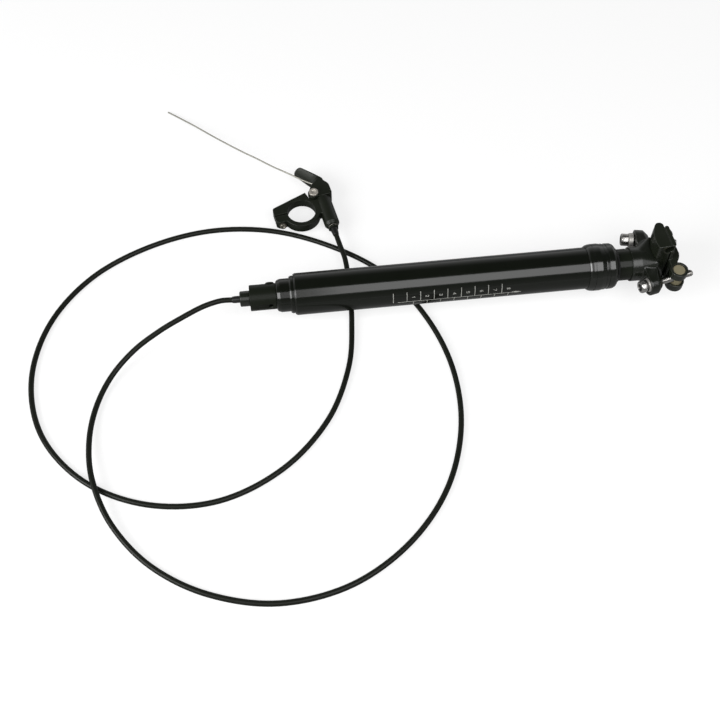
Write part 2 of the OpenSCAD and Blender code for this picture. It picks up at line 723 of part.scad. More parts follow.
// Lower half of the rail clamp: a round underside, a rounded front end, a groove for each rail,
// notched for the front nut's rings
module clamp_cradle() color(black_satin) in_clamp() {
    top = clamp_split - split_gap / 2;
    tip = [top - tip_r, sqrt(pow(cradle_r - tip_r, 2) - pow(top - tip_r, 2))];
    tip_turn = atan2(tip[1], tip[0]);
    notch_y = nut_reach - boss_r - free_gap;
    notch_half = boss_half + free_gap;
    difference() {
        linear_extrude(2 * clamp_half, center = true) difference() {
            intersection() {
                circle(r = cradle_r);
                translate([-2 * cradle_r, -clamp_rear]) square([2 * cradle_r + top, 2 * cradle_r]);
            }
            difference() {
                polygon(concat([tip], arc(tip, 5 * tip_r, 0, tip_turn)));
                translate(tip) circle(r = tip_r);
            }
        }
        for (s = [-1, 1]) translate([-rail_drop, 0, s * rail_half])
            rotate([90, 0, 0]) cylinder(r = rail_r + run_gap, h = 4 * cradle_r, center = true);
        translate([-2 * cradle_r, notch_y, -notch_half]) cube([2 * cradle_r, cradle_r, 2 * notch_half]);
    }
}

// Upper half of the rail clamp: a cap over each rail, joined by a plate and a crowned middle that
// ends in a pair of rings round each barrel nut
module top_clamp() color(black_satin) in_clamp() {
    base = clamp_split + split_gap / 2;
    inner = rail_half - rail_r - cap_wall;
    high = crown - cap_round_r;
    back = -clamp_rear + cap_round_r;
    ahead = cap_front - cap_round_r;
    reach = nut_reach - boss_r;
    difference() {
        union() {
            for (s = [-1, 1]) translate([0, 0, s * (inner + clamp_half) / 2]) hull($fn = hull_fn) {
                translate([base, -clamp_rear, (inner - clamp_half) / 2])
                    cube([0.2, clamp_rear + cap_front, clamp_half - inner]);
                for (y = [back, ahead]) translate([high, y, 0])
                    cylinder(r = cap_round_r, h = clamp_half - inner, center = true);
            }
            translate([base, -clamp_rear, -rail_half + rail_r])
                cube([crown - base, clamp_rear + reach, 2 * (rail_half - rail_r)]);
            intersection() {
                translate([base, -nut_reach, -boss_half]) cube([nut_drop, 2 * nut_reach, 2 * boss_half]);
                translate([-bridge_drop - bridge_crown, 0, 0])
                    cylinder(r = bridge_crown, h = 2 * boss_half, center = true);
            }
            translate([-nut_drop - boss_wall, -nut_reach, -boss_half])
                cube([boss_wall, 2 * nut_reach, 2 * boss_half]);
            for (e = [-1, 1]) translate([-nut_drop, e * nut_reach, 0])
                cylinder(r = boss_r, h = 2 * boss_half, center = true);
        }
        for (s = [-1, 1]) translate([-rail_drop, 0, s * rail_half])
            rotate([90, 0, 0]) cylinder(r = rail_r + run_gap, h = 4 * cradle_r, center = true);
        for (e = [-1, 1]) translate([-nut_drop, e * nut_reach, 0])
            cylinder(r = nut_r + run_gap, h = 4 * boss_half, center = true);
        for (e = [-1, 1]) translate([-nut_drop, e * (reach + 0.6 + boss_r), 0])
            cube([4 * boss_r, 2 * boss_r, boss_gap], center = true);
    }
}

// Barrel nut that lies across the clamp and takes a bolt through its middle
module barrel_nut(side) color(grey_steel) difference() {
    translate([nut_at(side)[0], nut_at(side)[1], 0]) cylinder(r = nut_r, h = nut_len, center = true);
    on_bolt(side) cylinder(r = bolt_r + free_gap, h = 2 * rear_bolt_len);
}
module front_barrel_nut() barrel_nut(front);
module rear_barrel_nut() barrel_nut(rear);

// Socket-head bolt through an ear into its barrel nut
module clamp_bolt(side, length) color(bright_steel) on_bolt(side) difference() {
    union() {
        translate([0, 0, -bolt_head_len]) cylinder(r = bolt_head / 2, h = bolt_head_len);
        cylinder(r = bolt_r, h = length);
    }
    translate([0, 0, -bolt_head_len - over])
        cylinder(r = bolt_key / sqrt(3), h = bolt_head_len * 0.6 + over, $fn = 6);
}
module front_bolt() clamp_bolt(front, front_bolt_len);
module rear_bolt() clamp_bolt(rear, rear_bolt_len);

// Coned washer under a bolt head
module bolt_washer(side) color(bright_steel) on_bolt(side) rotate_extrude() polygon([
    [bolt_r + seat_gap, 0], [bolt_head / 2, 0], [washer_od / 2, washer_t / 2],
    [washer_od / 2, washer_t - washer_slope], [washer_od / 2 - 2 * washer_slope, washer_t],
    [bolt_r + seat_gap, washer_t]
]);
module front_washer() bolt_washer(front);
module rear_washer() bolt_washer(rear);

// Remote body: a slit ring for the handlebar, a shoulder, the cable barrel and the lever's tongue
module remote_body() color(black_satin) in_remote() {
    ear_x = screw_x + screw_dia / 2 + 2.6;
    barrel_r = barrel_od / 2;
    flank = 16.3;
    flank_start = ring_r * [-sin(flank), cos(flank)];
    flank_corner = [-ear_x, flank_start[1] - (ear_x + flank_start[0]) * tan(flank)];
    flank_end = flank_start + 12.2 * [cos(flank), sin(flank)];
    difference() {
        union() {
            linear_extrude(ring_width, center = true) {
                circle(r = ring_r);
                polygon(concat(
                    arc([-ear_x + 2.5, flank_corner[1] - 2.2], 2.5, 180, 90 + flank),
                    [flank_end, [pivot_x - 4, parting_y], [0, 0], [-ear_x, 0]]
                ));
                polygon([[-ear_x, 0], [-ear_x, 2 - ear_face], [2 - ear_x, -ear_face],
                         [-bar_r, -ear_face], [-bar_r, 0]]);
            }
            translate([ring_r - 4, -barrel_r, -ring_width / 2])
                cube([barrel_x - ring_r + 4, barrel_r + parting_y, ring_width]);
            on_barrel(-parting_y) cylinder(r = barrel_r, h = parting_y + barrel_end - 2.5);
            on_barrel(barrel_end - 2.5) cylinder(r1 = barrel_r, r2 = barrel_r - 1.6, h = 2.5);
            linear_extrude(tongue_t, center = true) {
                translate([pivot_x, pivot_y]) circle(r = hub_r - 0.9);
                translate([pivot_x - hub_r + 0.9, parting_y - 4])
                    square([2 * hub_r - 1.8, pivot_y - parting_y + 4]);
            }
        }
        cylinder(r = bar_r, h = 2 * ring_width, center = true);
        translate([-2 * ear_x, 0.4, -ring_width])
            cube([2 * ear_x - bar_r + over, slit_w, 2 * ring_width]);
        translate([-screw_x, slit_w, 0]) rotate([-90, 0, 0])
            cylinder(r = screw_dia / 2 + seat_gap, h = ear_face);
        translate([-screw_x, slit_w, 0]) rotate([90, 0, 0])
            cylinder(r = screw_dia / 2 + free_gap, h = 2 * ear_face);
        for (s = [-1, 1]) at_pivot(s * (fork_half + lever_t))
            cylinder(r = hub_r + free_gap, h = 2 * lever_t, center = true);
        at_pivot() cylinder(r = pivot_dia / 2 + seat_gap, h = 2 * lever_t, center = true);
        on_barrel(barrel_end - adjuster_thread - over)
            cylinder(r = adjuster_dia / 2 + run_gap, h = adjuster_thread + 2 * over);
        on_barrel(-2 * parting_y) cylinder(r = wire_hole_r, h = 2 * parting_y + barrel_end);
    }
}

// Screw that closes the ring on the handlebar
module clamp_screw() color(grey_steel) in_remote() translate([-screw_x, -ear_face, 0])
    rotate([-90, 0, 0]) difference() {
        union() {
            cylinder(r = screw_dia / 2, h = ear_face + slit_w + 6);
            translate([0, 0, -screw_head_len]) cylinder(r = screw_head / 2, h = screw_head_len);
        }
        translate([0, 0, -screw_head_len - over]) cylinder(r = screw_dia / 3, h = 2 * over + 0.4, $fn = 6);
    }

// Bolt that the lever turns on
module pivot_bolt() color(grey_steel) in_remote() difference() {
    union() {
        at_pivot(-lever_half - pivot_nut_len + 0.4)
            cylinder(r = pivot_dia / 2, h = lever_t + pivot_nut_len);
        at_pivot(lever_half + free_gap / 2) cylinder(r = pivot_head / 2, h = pivot_head_len);
    }
    at_pivot(lever_half + pivot_head_len / 2) cylinder(r = pivot_dia / 2.2, h = lever_t, $fn = 6);
}

// Nut under the lever on the pivot bolt
module pivot_nut() color(grey_steel) in_remote() difference() {
    at_pivot(-lever_half - pivot_nut_len)
        cylinder(r = nut_flats / sqrt(3), h = pivot_nut_len - free_gap / 2, $fn = 6);
    at_pivot(-lever_t) cylinder(r = pivot_dia / 2 + seat_gap, h = 2 * lever_t);
}

// Adjuster screwed in the cable barrel
module barrel_adjuster() color(black_satin) in_remote() difference() {
    union() {
        on_barrel(barrel_end - adjuster_thread)
            cylinder(r = adjuster_dia / 2, h = adjuster_thread + free_gap);
        on_barrel(barrel_end + free_gap) cylinder(r = adjuster_flats / sqrt(3), h = adjuster_len, $fn = 6);
    }
    on_barrel(ferrule_back - seat_gap) cylinder(r = end_ferrule_od / 2 + run_gap, h = barrel_end);
    on_barrel(0) cylinder(r = wire_hole_r, h = 2 * barrel_end);
}

// Ferrule on the cable's end at the remote
module remote_ferrule() color(black_rubber) in_remote() difference() {
    on_barrel(ferrule_back) cylinder(r = end_ferrule_od / 2, h = ferrule_front - ferrule_back);
    on_barrel(0) cylinder(r = wire_hole_r, h = 2 * ferrule_front);
}

// Thumb lever: a forked hub on the pivot, a bent arm and a thumb pad with a rounded underside
module thumb_lever() color(black_satin) in_remote() {
    top = lever_half;
    edge = parting_y + free_gap;
    right = barrel_x + barrel_od / 2 + shoulder;
    difference() {
        union() {
            at_pivot() cylinder(r = hub_r, h = lever_t, center = true);
            hull($fn = hull_fn) {
                at_pivot() cylinder(r = hub_r, h = lever_t - 1.6, center = true);
                translate([right - 1.5, edge + 1.5, 0]) cylinder(r = 1.5, h = lever_t, center = true);
                translate([right - shoulder_r, shoulder_y, 0])
                    cylinder(r = shoulder_r, h = lever_t - 1, center = true);
                translate([pad_root[0], pad_root[1] - 2, 0])
                    cylinder(r = 4.6, h = lever_t - 1, center = true);
            }
            hull($fn = hull_fn) {
                translate([pad_root[0], pad_root[1], top - pad_depth])
                    cylinder(r = 4.6, h = pad_depth - 0.6);
                translate([pad_root[0], pad_root[1], -top + 1]) cylinder(r = 2.6, h = 2);
                translate([pad_mid[0], pad_mid[1], -top + 1.6]) cylinder(r = 2.4, h = 2);
                translate([pad_tip[0], pad_tip[1], top - 4.6]) cylinder(r = pad_w / 2, h = 3.4);
                translate([pad_tip[0], pad_tip[1], top - 3.4]) cylinder(r = pad_w / 2 - 0.8, h = 3.4);
            }
        }
        translate([pivot_x, edge - lever_t, -lever_t]) cube([2 * right, lever_t, 2 * lever_t]);
        at_pivot() cylinder(r = hub_r + 0.7, h = 2 * fork_half, center = true);
        at_pivot() cylinder(r = pivot_dia / 2 + run_gap, h = 2 * lever_t, center = true);
        translate([barrel_x, 17, -lever_t]) cylinder(r = anchor_dia / 2 + seat_gap, h = lever_t - 0.8);
        on_barrel(-wire_reach) cylinder(r = wire_hole_r, h = wire_reach);
        translate(wire_route[1]) rotate([0, 90, wire_out])
            cylinder(r = wire_r + run_gap, h = 6.4, center = true);
    }
}

// Screw that grips the wire in the lever
module anchor_screw() color(grey_steel) in_remote()
    translate([barrel_x, 17, -lever_half]) difference() {
        cylinder(r = anchor_dia / 2, h = lever_half - 1.4);
        translate([0, 0, -over]) cylinder(r = anchor_dia / 4, h = over + 2, $fn = 6);
    }

// Cable housing from the base to the remote
module cable_housing() color(black_rubber)
    swept_tube(spline(cable_route, cable_steps), cable_dia / 2, cable_sides,
               [-1, 0, 0], [-sin(remote_turn), cos(remote_turn), 0]);

// Free end of the inner wire past the lever
module wire_tail() color(bright_steel) in_remote()
    swept_tube(spline(wire_route, wire_steps), wire_r, wire_sides,
               unit(wire_route[1] - wire_route[0]), unit(wire_route[9] - wire_route[8]));

outer_tube();
seal_collar();
wiper_seal();
upper_bushing();
bottom_cap();
actuator_housing();
lock_screw();
cable_stop();
post_ferrule();
cartridge_rod();
release_rod();
wire_head_end();
stanchion_tube();
lower_bushing();
guide_keys();
cartridge_body();
cartridge_gland();
retaining_ring();
post_head();
clamp_cradle();
top_clamp();
front_barrel_nut();
rear_barrel_nut();
front_bolt();
rear_bolt();
front_washer();
rear_washer();
remote_body();
clamp_screw();
pivot_bolt();
pivot_nut();
barrel_adjuster();
remote_ferrule();
thumb_lever();
anchor_screw();
cable_housing();
wire_tail();
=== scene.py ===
import json
import math
import bmesh
import bpy
from mathutils import Matrix, Vector


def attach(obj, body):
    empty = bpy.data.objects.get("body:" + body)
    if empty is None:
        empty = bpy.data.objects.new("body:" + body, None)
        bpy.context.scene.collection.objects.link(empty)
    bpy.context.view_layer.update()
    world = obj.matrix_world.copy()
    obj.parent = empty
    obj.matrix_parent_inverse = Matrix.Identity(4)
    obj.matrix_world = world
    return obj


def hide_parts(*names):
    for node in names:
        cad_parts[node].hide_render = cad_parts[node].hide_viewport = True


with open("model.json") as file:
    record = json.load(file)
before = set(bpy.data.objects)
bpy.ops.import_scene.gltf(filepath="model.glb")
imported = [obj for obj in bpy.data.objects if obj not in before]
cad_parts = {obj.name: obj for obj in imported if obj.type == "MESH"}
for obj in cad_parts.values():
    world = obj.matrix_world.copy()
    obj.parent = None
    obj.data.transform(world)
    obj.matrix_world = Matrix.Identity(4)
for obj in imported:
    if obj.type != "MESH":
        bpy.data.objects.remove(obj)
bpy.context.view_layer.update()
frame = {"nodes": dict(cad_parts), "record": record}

# Camera: it looks down at the post as it lies on its side, from above its near edge and a little to the
# left of the object's middle.
scene = bpy.context.scene
scene.view_settings.view_transform = "Standard"
camera = bpy.data.objects.new("camera", bpy.data.cameras.new("camera"))
scene.collection.objects.link(camera)
camera.location = (-0.00283, -0.46290, 0.64590)
look_down, look_aside = 58, 6.348
camera.rotation_euler = (math.radians(90 - look_down), 0, math.radians(-look_aside))
camera.data.lens = 54
camera.data.sensor_width = 36
camera.data.clip_start = 0.01
scene.camera = camera

# Floor: a plain pale sheet at the height of the clamp's lower edge. Part of its white is its own colour
# under the lamps, which keeps the object's shadow. The rest shows to the camera and through glass, and
# more faintly to metal, as in a dim room.
floor_height = -0.0261
own_white, seen_white, mirror_white = 0.3, 0.71, 0.03
bpy.ops.mesh.primitive_plane_add(size=8, location=(0, 0, floor_height))
floor = bpy.context.object
floor.name = "floor"
floor_mat = bpy.data.materials.new("floor_pale")
floor_mat.use_nodes = True
tree = floor_mat.node_tree
shade = tree.nodes["Principled BSDF"]
shade.inputs["Base Color"].default_value = (own_white, own_white, own_white, 1)
shade.inputs["Roughness"].default_value = 0.9
shade.inputs["Specular IOR Level"].default_value = 0.0
shade.inputs["Emission Color"].default_value = (1, 1, 1, 1)
rays = tree.nodes.new("ShaderNodeLightPath")
seen = tree.nodes.new("ShaderNodeMath")
seen.operation = "MAXIMUM"
glossy = tree.nodes.new("ShaderNodeMath")
glossy.operation = "MULTIPLY"
glossy.inputs[1].default_value = mirror_white
pale = tree.nodes.new("ShaderNodeMath")
pale.operation = "MULTIPLY_ADD"
pale.inputs[1].default_value = seen_white
tree.links.new(rays.outputs["Is Camera Ray"], seen.inputs[0])
tree.links.new(rays.outputs["Is Transmission Ray"], seen.inputs[1])
tree.links.new(rays.outputs["Is Glossy Ray"], glossy.inputs[0])
tree.links.new(seen.outputs[0], pale.inputs[0])
tree.links.new(glossy.outputs[0], pale.inputs[2])
tree.links.new(pale.outputs[0], shade.inputs["Emission Strength"])
floor.data.materials.append(floor_mat)

# Lamps: a large soft box behind and above the camera draws the tube's long grey band, a dim one beside it
# draws the band's fading end, and one on the left draws the lines on the base's edges. The room is pale at
# the horizon, dark overhead, and paler behind the object than behind the camera.


def soft_box(name, place, aim, size, power):
    lamp = bpy.data.objects.new(name, bpy.data.lights.new(name, "AREA"))
    lamp.data.shape = "RECTANGLE"
    lamp.data.size, lamp.data.size_y = size
    lamp.data.energy = power
    lamp.location = place
    back = (Vector(place) - Vector(aim)).normalized()
    along = (Vector((1, 0, 0)) - back * back.x).normalized()
    lamp.rotation_euler = Matrix((along, back.cross(along), back)).transposed().to_euler()
    scene.collection.objects.link(lamp)


key_x, fill_x = 0.56, -0.2
row_y, row_z, row_depth = -0.7475, 1.0636, 0.96
soft_box("key_lamp", (key_x, row_y, row_z), (key_x, 0, 0), (1.0, row_depth), 12)
soft_box("fill_lamp", (fill_x, row_y, row_z), (fill_x, 0, 0), (0.5, row_depth), 2.2)
soft_box("side_lamp", (-1.07, -0.52, 0.73), (0, 0, 0), (0.9, 0.9), 22)
world = bpy.data.worlds.new("studio")
world.use_nodes = True
scene.world = world
tree = world.node_tree
where = tree.nodes.new("ShaderNodeTexCoord")
height = tree.nodes.new("ShaderNodeSeparateXYZ")
room = tree.nodes.new("ShaderNodeValToRGB")
room.color_ramp.elements[0].position = 0.0
room.color_ramp.elements[0].color = (0.6, 0.6, 0.6, 1)
room.color_ramp.elements[1].position = 0.75
room.color_ramp.elements[1].color = (0.04, 0.04, 0.04, 1)
middle = room.color_ramp.elements.new(0.4)
middle.color = (0.3, 0.3, 0.3, 1)
beyond = tree.nodes.new("ShaderNodeMapRange")
beyond.inputs["From Min"].default_value = -0.6
beyond.inputs["From Max"].default_value = 0.6
beyond.inputs["To Min"].default_value = 0.5
beyond.inputs["To Max"].default_value = 1.7
tree.links.new(where.outputs["Generated"], height.inputs["Vector"])
tree.links.new(height.outputs["Z"], room.inputs["Fac"])
tree.links.new(height.outputs["Y"], beyond.inputs["Value"])
tree.links.new(room.outputs["Color"], tree.nodes["Background"].inputs["Color"])
tree.links.new(beyond.outputs["Result"], tree.nodes["Background"].inputs["Strength"])

# Cable housing: a steel liner under smooth black plastic, 4 mm thick. It leaves the base's ferrule,
# falls to the table, makes two wide loops under the post and climbs to the remote's ferrule.
mm = 0.001
route = [
    (-45.4, 0, 0), (-54.5, 0, 0), (-67, -3, -1), (-82, -8.5, -4), (-100, -16, -8.5),
    (-119.5, -26.5, -15), (-136.5, -43, -21), (-147.5, -66.5, -23), (-151.5, -95, -21.5),
    (-148, -126.5, -19), (-135, -159.5, -21.5), (-110, -190, -23.7), (-73.5, -213, -24),
    (-28.5, -224, -24), (19, -217, -24), (61, -192, -24), (92, -154.5, -24), (108.5, -108, -24),
    (109.5, -59, -24), (96, -12, -24), (70, 30, -24), (31.5, 60.5, -24), (-13.5, 80.5, -24),
    (-62, 85.5, -24), (-110, 74.5, -24), (-152.5, 50, -24), (-182.5, 11.5, -24), (-194.5, -36, -24),
    (-185.5, -84, -24), (-155.5, -123, -24), (-112, -145.5, -24), (-63.5, -148, -24),
    (-18.5, -128.5, -24), (15.5, -94, -24), (34.5, -52.5, -23.8), (41, -13.5, -23), (42.5, 19.5, -20.5),
    (41.9, 40.9, -18.5), (39.3, 54.6, -17.6), (37.3182, 65.4342, -17.6),
]


def smooth_line(points, steps):
    """Points of a smooth curve through a route given in millimetres, in metres."""
    pts = [Vector(p) * mm for p in points]
    out = []
    for i in range(len(pts) - 1):
        a, b, c, d = pts[max(i - 1, 0)], pts[i], pts[i + 1], pts[min(i + 2, len(pts) - 1)]
        for k in range(steps):
            t = k / steps
            out.append(0.5 * (2 * b + (c - a) * t + (2 * a - 5 * b + 4 * c - d) * t * t
                              + (3 * b - a - 3 * c + d) * t ** 3))
    return out + [pts[-1]]


def add_mesh(name, verts, faces, *materials):
    """A smooth-shaded object whose faces all look outward."""
    mesh = bpy.data.meshes.new(name)
    mesh.from_pydata(verts, [], faces)
    work = bmesh.new()
    work.from_mesh(mesh)
    bmesh.ops.recalc_face_normals(work, faces=work.faces)
    work.to_mesh(mesh)
    work.free()
    mesh.polygons.foreach_set("use_smooth", [True] * len(mesh.polygons))
    for mat in materials:
        mesh.materials.append(mat)
    obj = bpy.data.objects.new(name, mesh)
    scene.collection.objects.link(obj)
    return obj


def sweep(name, line, radius, sides, material, strands=0, lay=1.0):
    """A round tube along a line. With strands, its skin has that many ridges, twisted once in each lay."""
    strand_depth = 0.04
    verts, faces, gone = [], [], 0.0
    for i, p in enumerate(line):
        ahead = (line[min(i + 1, len(line) - 1)] - line[max(i - 1, 0)]).normalized()
        across = Vector((0, 0, 1)).cross(ahead).normalized()
        up = ahead.cross(across)
        gone += (p - line[i - 1]).length if i else 0.0
        for k in range(sides):
            a = 2 * math.pi * k / sides
            ridge = strand_depth * math.cos(strands * (a - 2 * math.pi * gone / lay)) if strands else 0.0
            verts.append(p + radius * (1 + ridge) * (math.cos(a) * across + math.sin(a) * up))
    for i in range(len(line) - 1):
        for k in range(sides):
            a, b = i * sides + k, i * sides + (k + 1) % sides
            faces.append((a, b, b + sides, a + sides))
    faces.append(tuple(range(sides)))
    faces.append(tuple(range(len(verts) - sides, len(verts))))
    return add_mesh(name, verts, faces, material)


# Grain shared by the finishes: a soft cloudiness, a fine speckle, and on turned pieces fine lines that
# follow the cutting tool, which their "turn" attribute counts along the section.
grain = bpy.data.node_groups.new("metal_grain", "ShaderNodeTree")
face = grain.interface
face.new_socket("Scale", in_out="INPUT", socket_type="NodeSocketFloat").default_value = 900
face.new_socket("Bump", in_out="INPUT", socket_type="NodeSocketFloat").default_value = 0.1
face.new_socket("Lines", in_out="INPUT", socket_type="NodeSocketFloat").default_value = 0.0
face.new_socket("Cloud", in_out="OUTPUT", socket_type="NodeSocketFloat")
face.new_socket("Tool", in_out="OUTPUT", socket_type="NodeSocketFloat")
face.new_socket("Normal", in_out="OUTPUT", socket_type="NodeSocketVector")
gin = grain.nodes.new("NodeGroupInput")
gout = grain.nodes.new("NodeGroupOutput")
place = grain.nodes.new("ShaderNodeTexCoord")
cloud = grain.nodes.new("ShaderNodeTexNoise")
cloud.inputs["Scale"].default_value = 70
cloud.inputs["Detail"].default_value = 4
speckle = grain.nodes.new("ShaderNodeTexNoise")
speckle.inputs["Detail"].default_value = 3
turn = grain.nodes.new("ShaderNodeAttribute")
turn.attribute_name = "turn"
tool = grain.nodes.new("ShaderNodeTexNoise")
tool.noise_dimensions = "1D"
tool.inputs["Scale"].default_value = 5200
tool.inputs["Detail"].default_value = 2
deep = grain.nodes.new("ShaderNodeMath")
deep.operation = "MULTIPLY_ADD"
bump = grain.nodes.new("ShaderNodeBump")
bump.inputs["Distance"].default_value = 0.0002
grain.links.new(place.outputs["Object"], cloud.inputs["Vector"])
grain.links.new(place.outputs["Object"], speckle.inputs["Vector"])
grain.links.new(gin.outputs["Scale"], speckle.inputs["Scale"])
grain.links.new(turn.outputs["Fac"], tool.inputs["W"])
grain.links.new(tool.outputs["Fac"], deep.inputs[0])
grain.links.new(gin.outputs["Lines"], deep.inputs[1])
grain.links.new(speckle.outputs["Fac"], deep.inputs[2])
grain.links.new(gin.outputs["Bump"], bump.inputs["Strength"])
grain.links.new(deep.outputs[0], bump.inputs["Height"])
grain.links.new(cloud.outputs["Fac"], gout.inputs["Cloud"])
grain.links.new(tool.outputs["Fac"], gout.inputs["Tool"])
grain.links.new(bump.outputs["Normal"], gout.inputs["Normal"])


def finish(name, dark, light, rough, metallic=0.0, specular=0.4, scale=900, bump=0.1, lines=0.0, edge_glint_and_wear=None):
    """A finish whose colour runs between two tones and whose roughness and normal follow the grain. A lighter
    edge tone, painted highlight with a little wear, shows where the "edge" attribute says that the piece is
    sharp."""
    mat = bpy.data.materials.new(name)
    mat.use_nodes = True
    tree = mat.node_tree
    shade = tree.nodes["Principled BSDF"]
    shade.inputs["Metallic"].default_value = metallic
    shade.inputs["Specular IOR Level"].default_value = specular
    use = tree.nodes.new("ShaderNodeGroup")
    use.node_tree = grain
    use.inputs["Scale"].default_value = scale
    use.inputs["Bump"].default_value = bump
    use.inputs["Lines"].default_value = lines
    tone = tree.nodes.new("ShaderNodeMix")
    tone.data_type = "RGBA"
    tone.inputs["A"].default_value = (*dark, 1)
    tone.inputs["B"].default_value = (*light, 1)
    gloss = tree.nodes.new("ShaderNodeMapRange")
    noise_low, noise_high = 0.3, 0.7
    gloss.inputs["From Min"].default_value = noise_low
    gloss.inputs["From Max"].default_value = noise_high
    gloss.inputs["To Min"].default_value = rough[0]
    gloss.inputs["To Max"].default_value = rough[1]
    tree.links.new(use.outputs["Cloud"], tone.inputs["Factor"])
    tree.links.new(use.outputs["Tool" if lines else "Cloud"], gloss.inputs["Value"])
    colour = tone.outputs["Result"]
    # The edge tone lightens sharp edges: a painted highlight standing in for their glints, with a little
    # wear.
    if edge_glint_and_wear:
        edge = tree.nodes.new("ShaderNodeAttribute")
        edge.attribute_name = "edge"
        glint_and_wear_tone = tree.nodes.new("ShaderNodeMix")
        glint_and_wear_tone.data_type = "RGBA"
        glint_and_wear_tone.inputs["B"].default_value = (*edge_glint_and_wear, 1)
        tree.links.new(edge.outputs["Fac"], glint_and_wear_tone.inputs["Factor"])
        tree.links.new(colour, glint_and_wear_tone.inputs["A"])
        colour = glint_and_wear_tone.outputs["Result"]
    tree.links.new(colour, shade.inputs["Base Color"])
    tree.links.new(gloss.outputs["Result"], shade.inputs["Roughness"])
    tree.links.new(use.outputs["Normal"], shade.inputs["Normal"])
    return mat


def fit(obj, body, slot, *stands_for):
    """Puts a finished piece on its CAD body, in place of the nodes it stands for. The slot is not used."""
    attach(obj, body)
    if stands_for:
        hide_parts(*stands_for)
    return obj


cable_black = finish("cable_black", (0.006, 0.0072, 0.005), (0.0095, 0.0108, 0.008), (0.3, 0.4),
                     specular=0.16, bump=0.05)
line = smooth_line(route, 10)
cable_r, cable_sides = 2 * mm, 18
cable = sweep("cable_housing_skin", line, cable_r, cable_sides, cable_black)
fit(cable, "outer_post", "black_plastic", "cable_housing")

# Inner wire: bare steel, six strands laid round a core. Its free tail comes out of the lever's side and
# slopes down to the table, where its cut end lies.
tail_local = [
    (18, 21.2, 4.6), (16, 23.2, 4.6), (9.7, 29.2, 4.5), (0, 40.5, 4), (-10.5, 52.7, 3), (-20.5, 66, 1.7),
    (-31, 79.7, 0), (-46.5, 101.5, -2.5), (-62, 124.5, -5), (-78.5, 147.5, -7.7),
]
bar_centre, remote_turn = (0.01225, 0.08957, -0.0176), math.radians(10.5)
remote_frame = Matrix.Translation(bar_centre) @ Matrix.Rotation(remote_turn, 4, "Z")
tail = [remote_frame @ p for p in smooth_line(tail_local, 40)]
wire_steel = finish("wire_steel", (0.29, 0.285, 0.25), (0.37, 0.362, 0.322), (0.45, 0.6),
                    metallic=0.6, scale=2500)
wire_r, wire_sides = 0.6 * mm, 24
wire = sweep("wire_tail_strand", tail, wire_r, wire_sides, wire_steel, strands=6, lay=7 * mm)
fit(wire, "lever", "bright_steel", "wire_tail")

# Outer tube: drawn aluminium, turned at both ends and anodised gloss black. A scale in centimetres is
# printed along its near side in white, with a numeral over each half-way mark and an arrow at its end.
tube_r, bore_r, thread_r = 15.45, 13.55, 14.95


def rounded(corners, steps=5):
    """A section's corners (station, radius, fillet), each eased by its fillet, as far as its sides allow,
    and held by a line either side."""
    most_of_side, hold = 0.62, 1.15
    out = []
    for i, (x, r, fillet) in enumerate(corners):
        here = Vector((x, r))
        back = Vector(corners[i - 1][:2]) - here
        ahead = Vector(corners[(i + 1) % len(corners)][:2]) - here
        half = back.angle(ahead) / 2
        reach = min(fillet / math.tan(half), most_of_side * min(back.length, ahead.length))
        fillet = reach * math.tan(half)
        back.normalize()
        ahead.normalize()
        centre = here + (back + ahead).normalized() * fillet / math.sin(half)
        first = (here + back * reach - centre).normalized()
        last = (here + ahead * reach - centre).normalized()
        out.append(here + back * hold * reach)
        out += [centre + fillet * first.slerp(last, k / steps) for k in range(steps + 1)]
        out.append(here + ahead * hold * reach)
    return [(p.x, p.y) for p in out]


def lathe(name, rings, sides, *materials, place=None, bored=True):
    """A piece turned about X and set in place: rings are (station, radius), and a radius may depend on the
    angle. A bored piece closes on itself; the others have a cap at each end."""
    verts, faces, turned, along = [], [], [], 0.0
    for i, (x, r) in enumerate(rings):
        start = r(0.0) if callable(r) else r
        if i:
            along += math.hypot(x - rings[i - 1][0], start - held)
        held = start
        for k in range(sides):
            a = 2 * math.pi * k / sides
            out = r(a) if callable(r) else r
            verts.append(Vector((x, out * math.cos(a), out * math.sin(a))) * mm)
            turned.append(along * mm)
    for i in range(len(rings) if bored else len(rings) - 1):
        for k in range(sides):
            j, n = (i + 1) % len(rings), (k + 1) % sides
            faces.append((i * sides + k, i * sides + n, j * sides + n, j * sides + k))
    if not bored:
        faces.append(tuple(range(sides)))
        faces.append(tuple(range(len(verts) - sides, len(verts))))
    if place:
        verts = [place @ v for v in verts]
    obj = add_mesh(name, verts, faces, *materials)
    obj.data.attributes.new("turn", "FLOAT", "POINT").data.foreach_set("value", turned)
    return obj


def print_strip(verts, faces, points, width):
    """A raised strip of print along (station, arc) points on the tube, both in millimetres."""
    longest, above, below = 0.4, 0.02, -0.06
    for (x0, t0), (x1, t1) in zip(points, points[1:]):
        run = math.hypot(x1 - x0, t1 - t0)
        dx, dt = (x1 - x0) / run, (t1 - t0) / run
        pieces = max(1, math.ceil((run + width) / longest))
        base = len(verts)
        for k in range(pieces + 1):
            s = -width / 2 + (run + width) * k / pieces
            for side, lift in ((1, above), (-1, above), (-1, below), (1, below)):
                x = x0 + s * dx - side * dt * width / 2
                a = (t0 + s * dt + side * dx * width / 2) / tube_r
                r = tube_r + lift
                verts.append(Vector((x, -r * math.cos(a), r * math.sin(a))) * mm)
        for k in range(pieces):
            for j in range(4):
                a, b = base + 4 * k + j, base + 4 * k + (j + 1) % 4
                faces.append((a, b, b + 4, a + 4))
        faces.append((base, base + 1, base + 2, base + 3))
        end = base + 4 * pieces
        faces.append((end, end + 1, end + 2, end + 3))


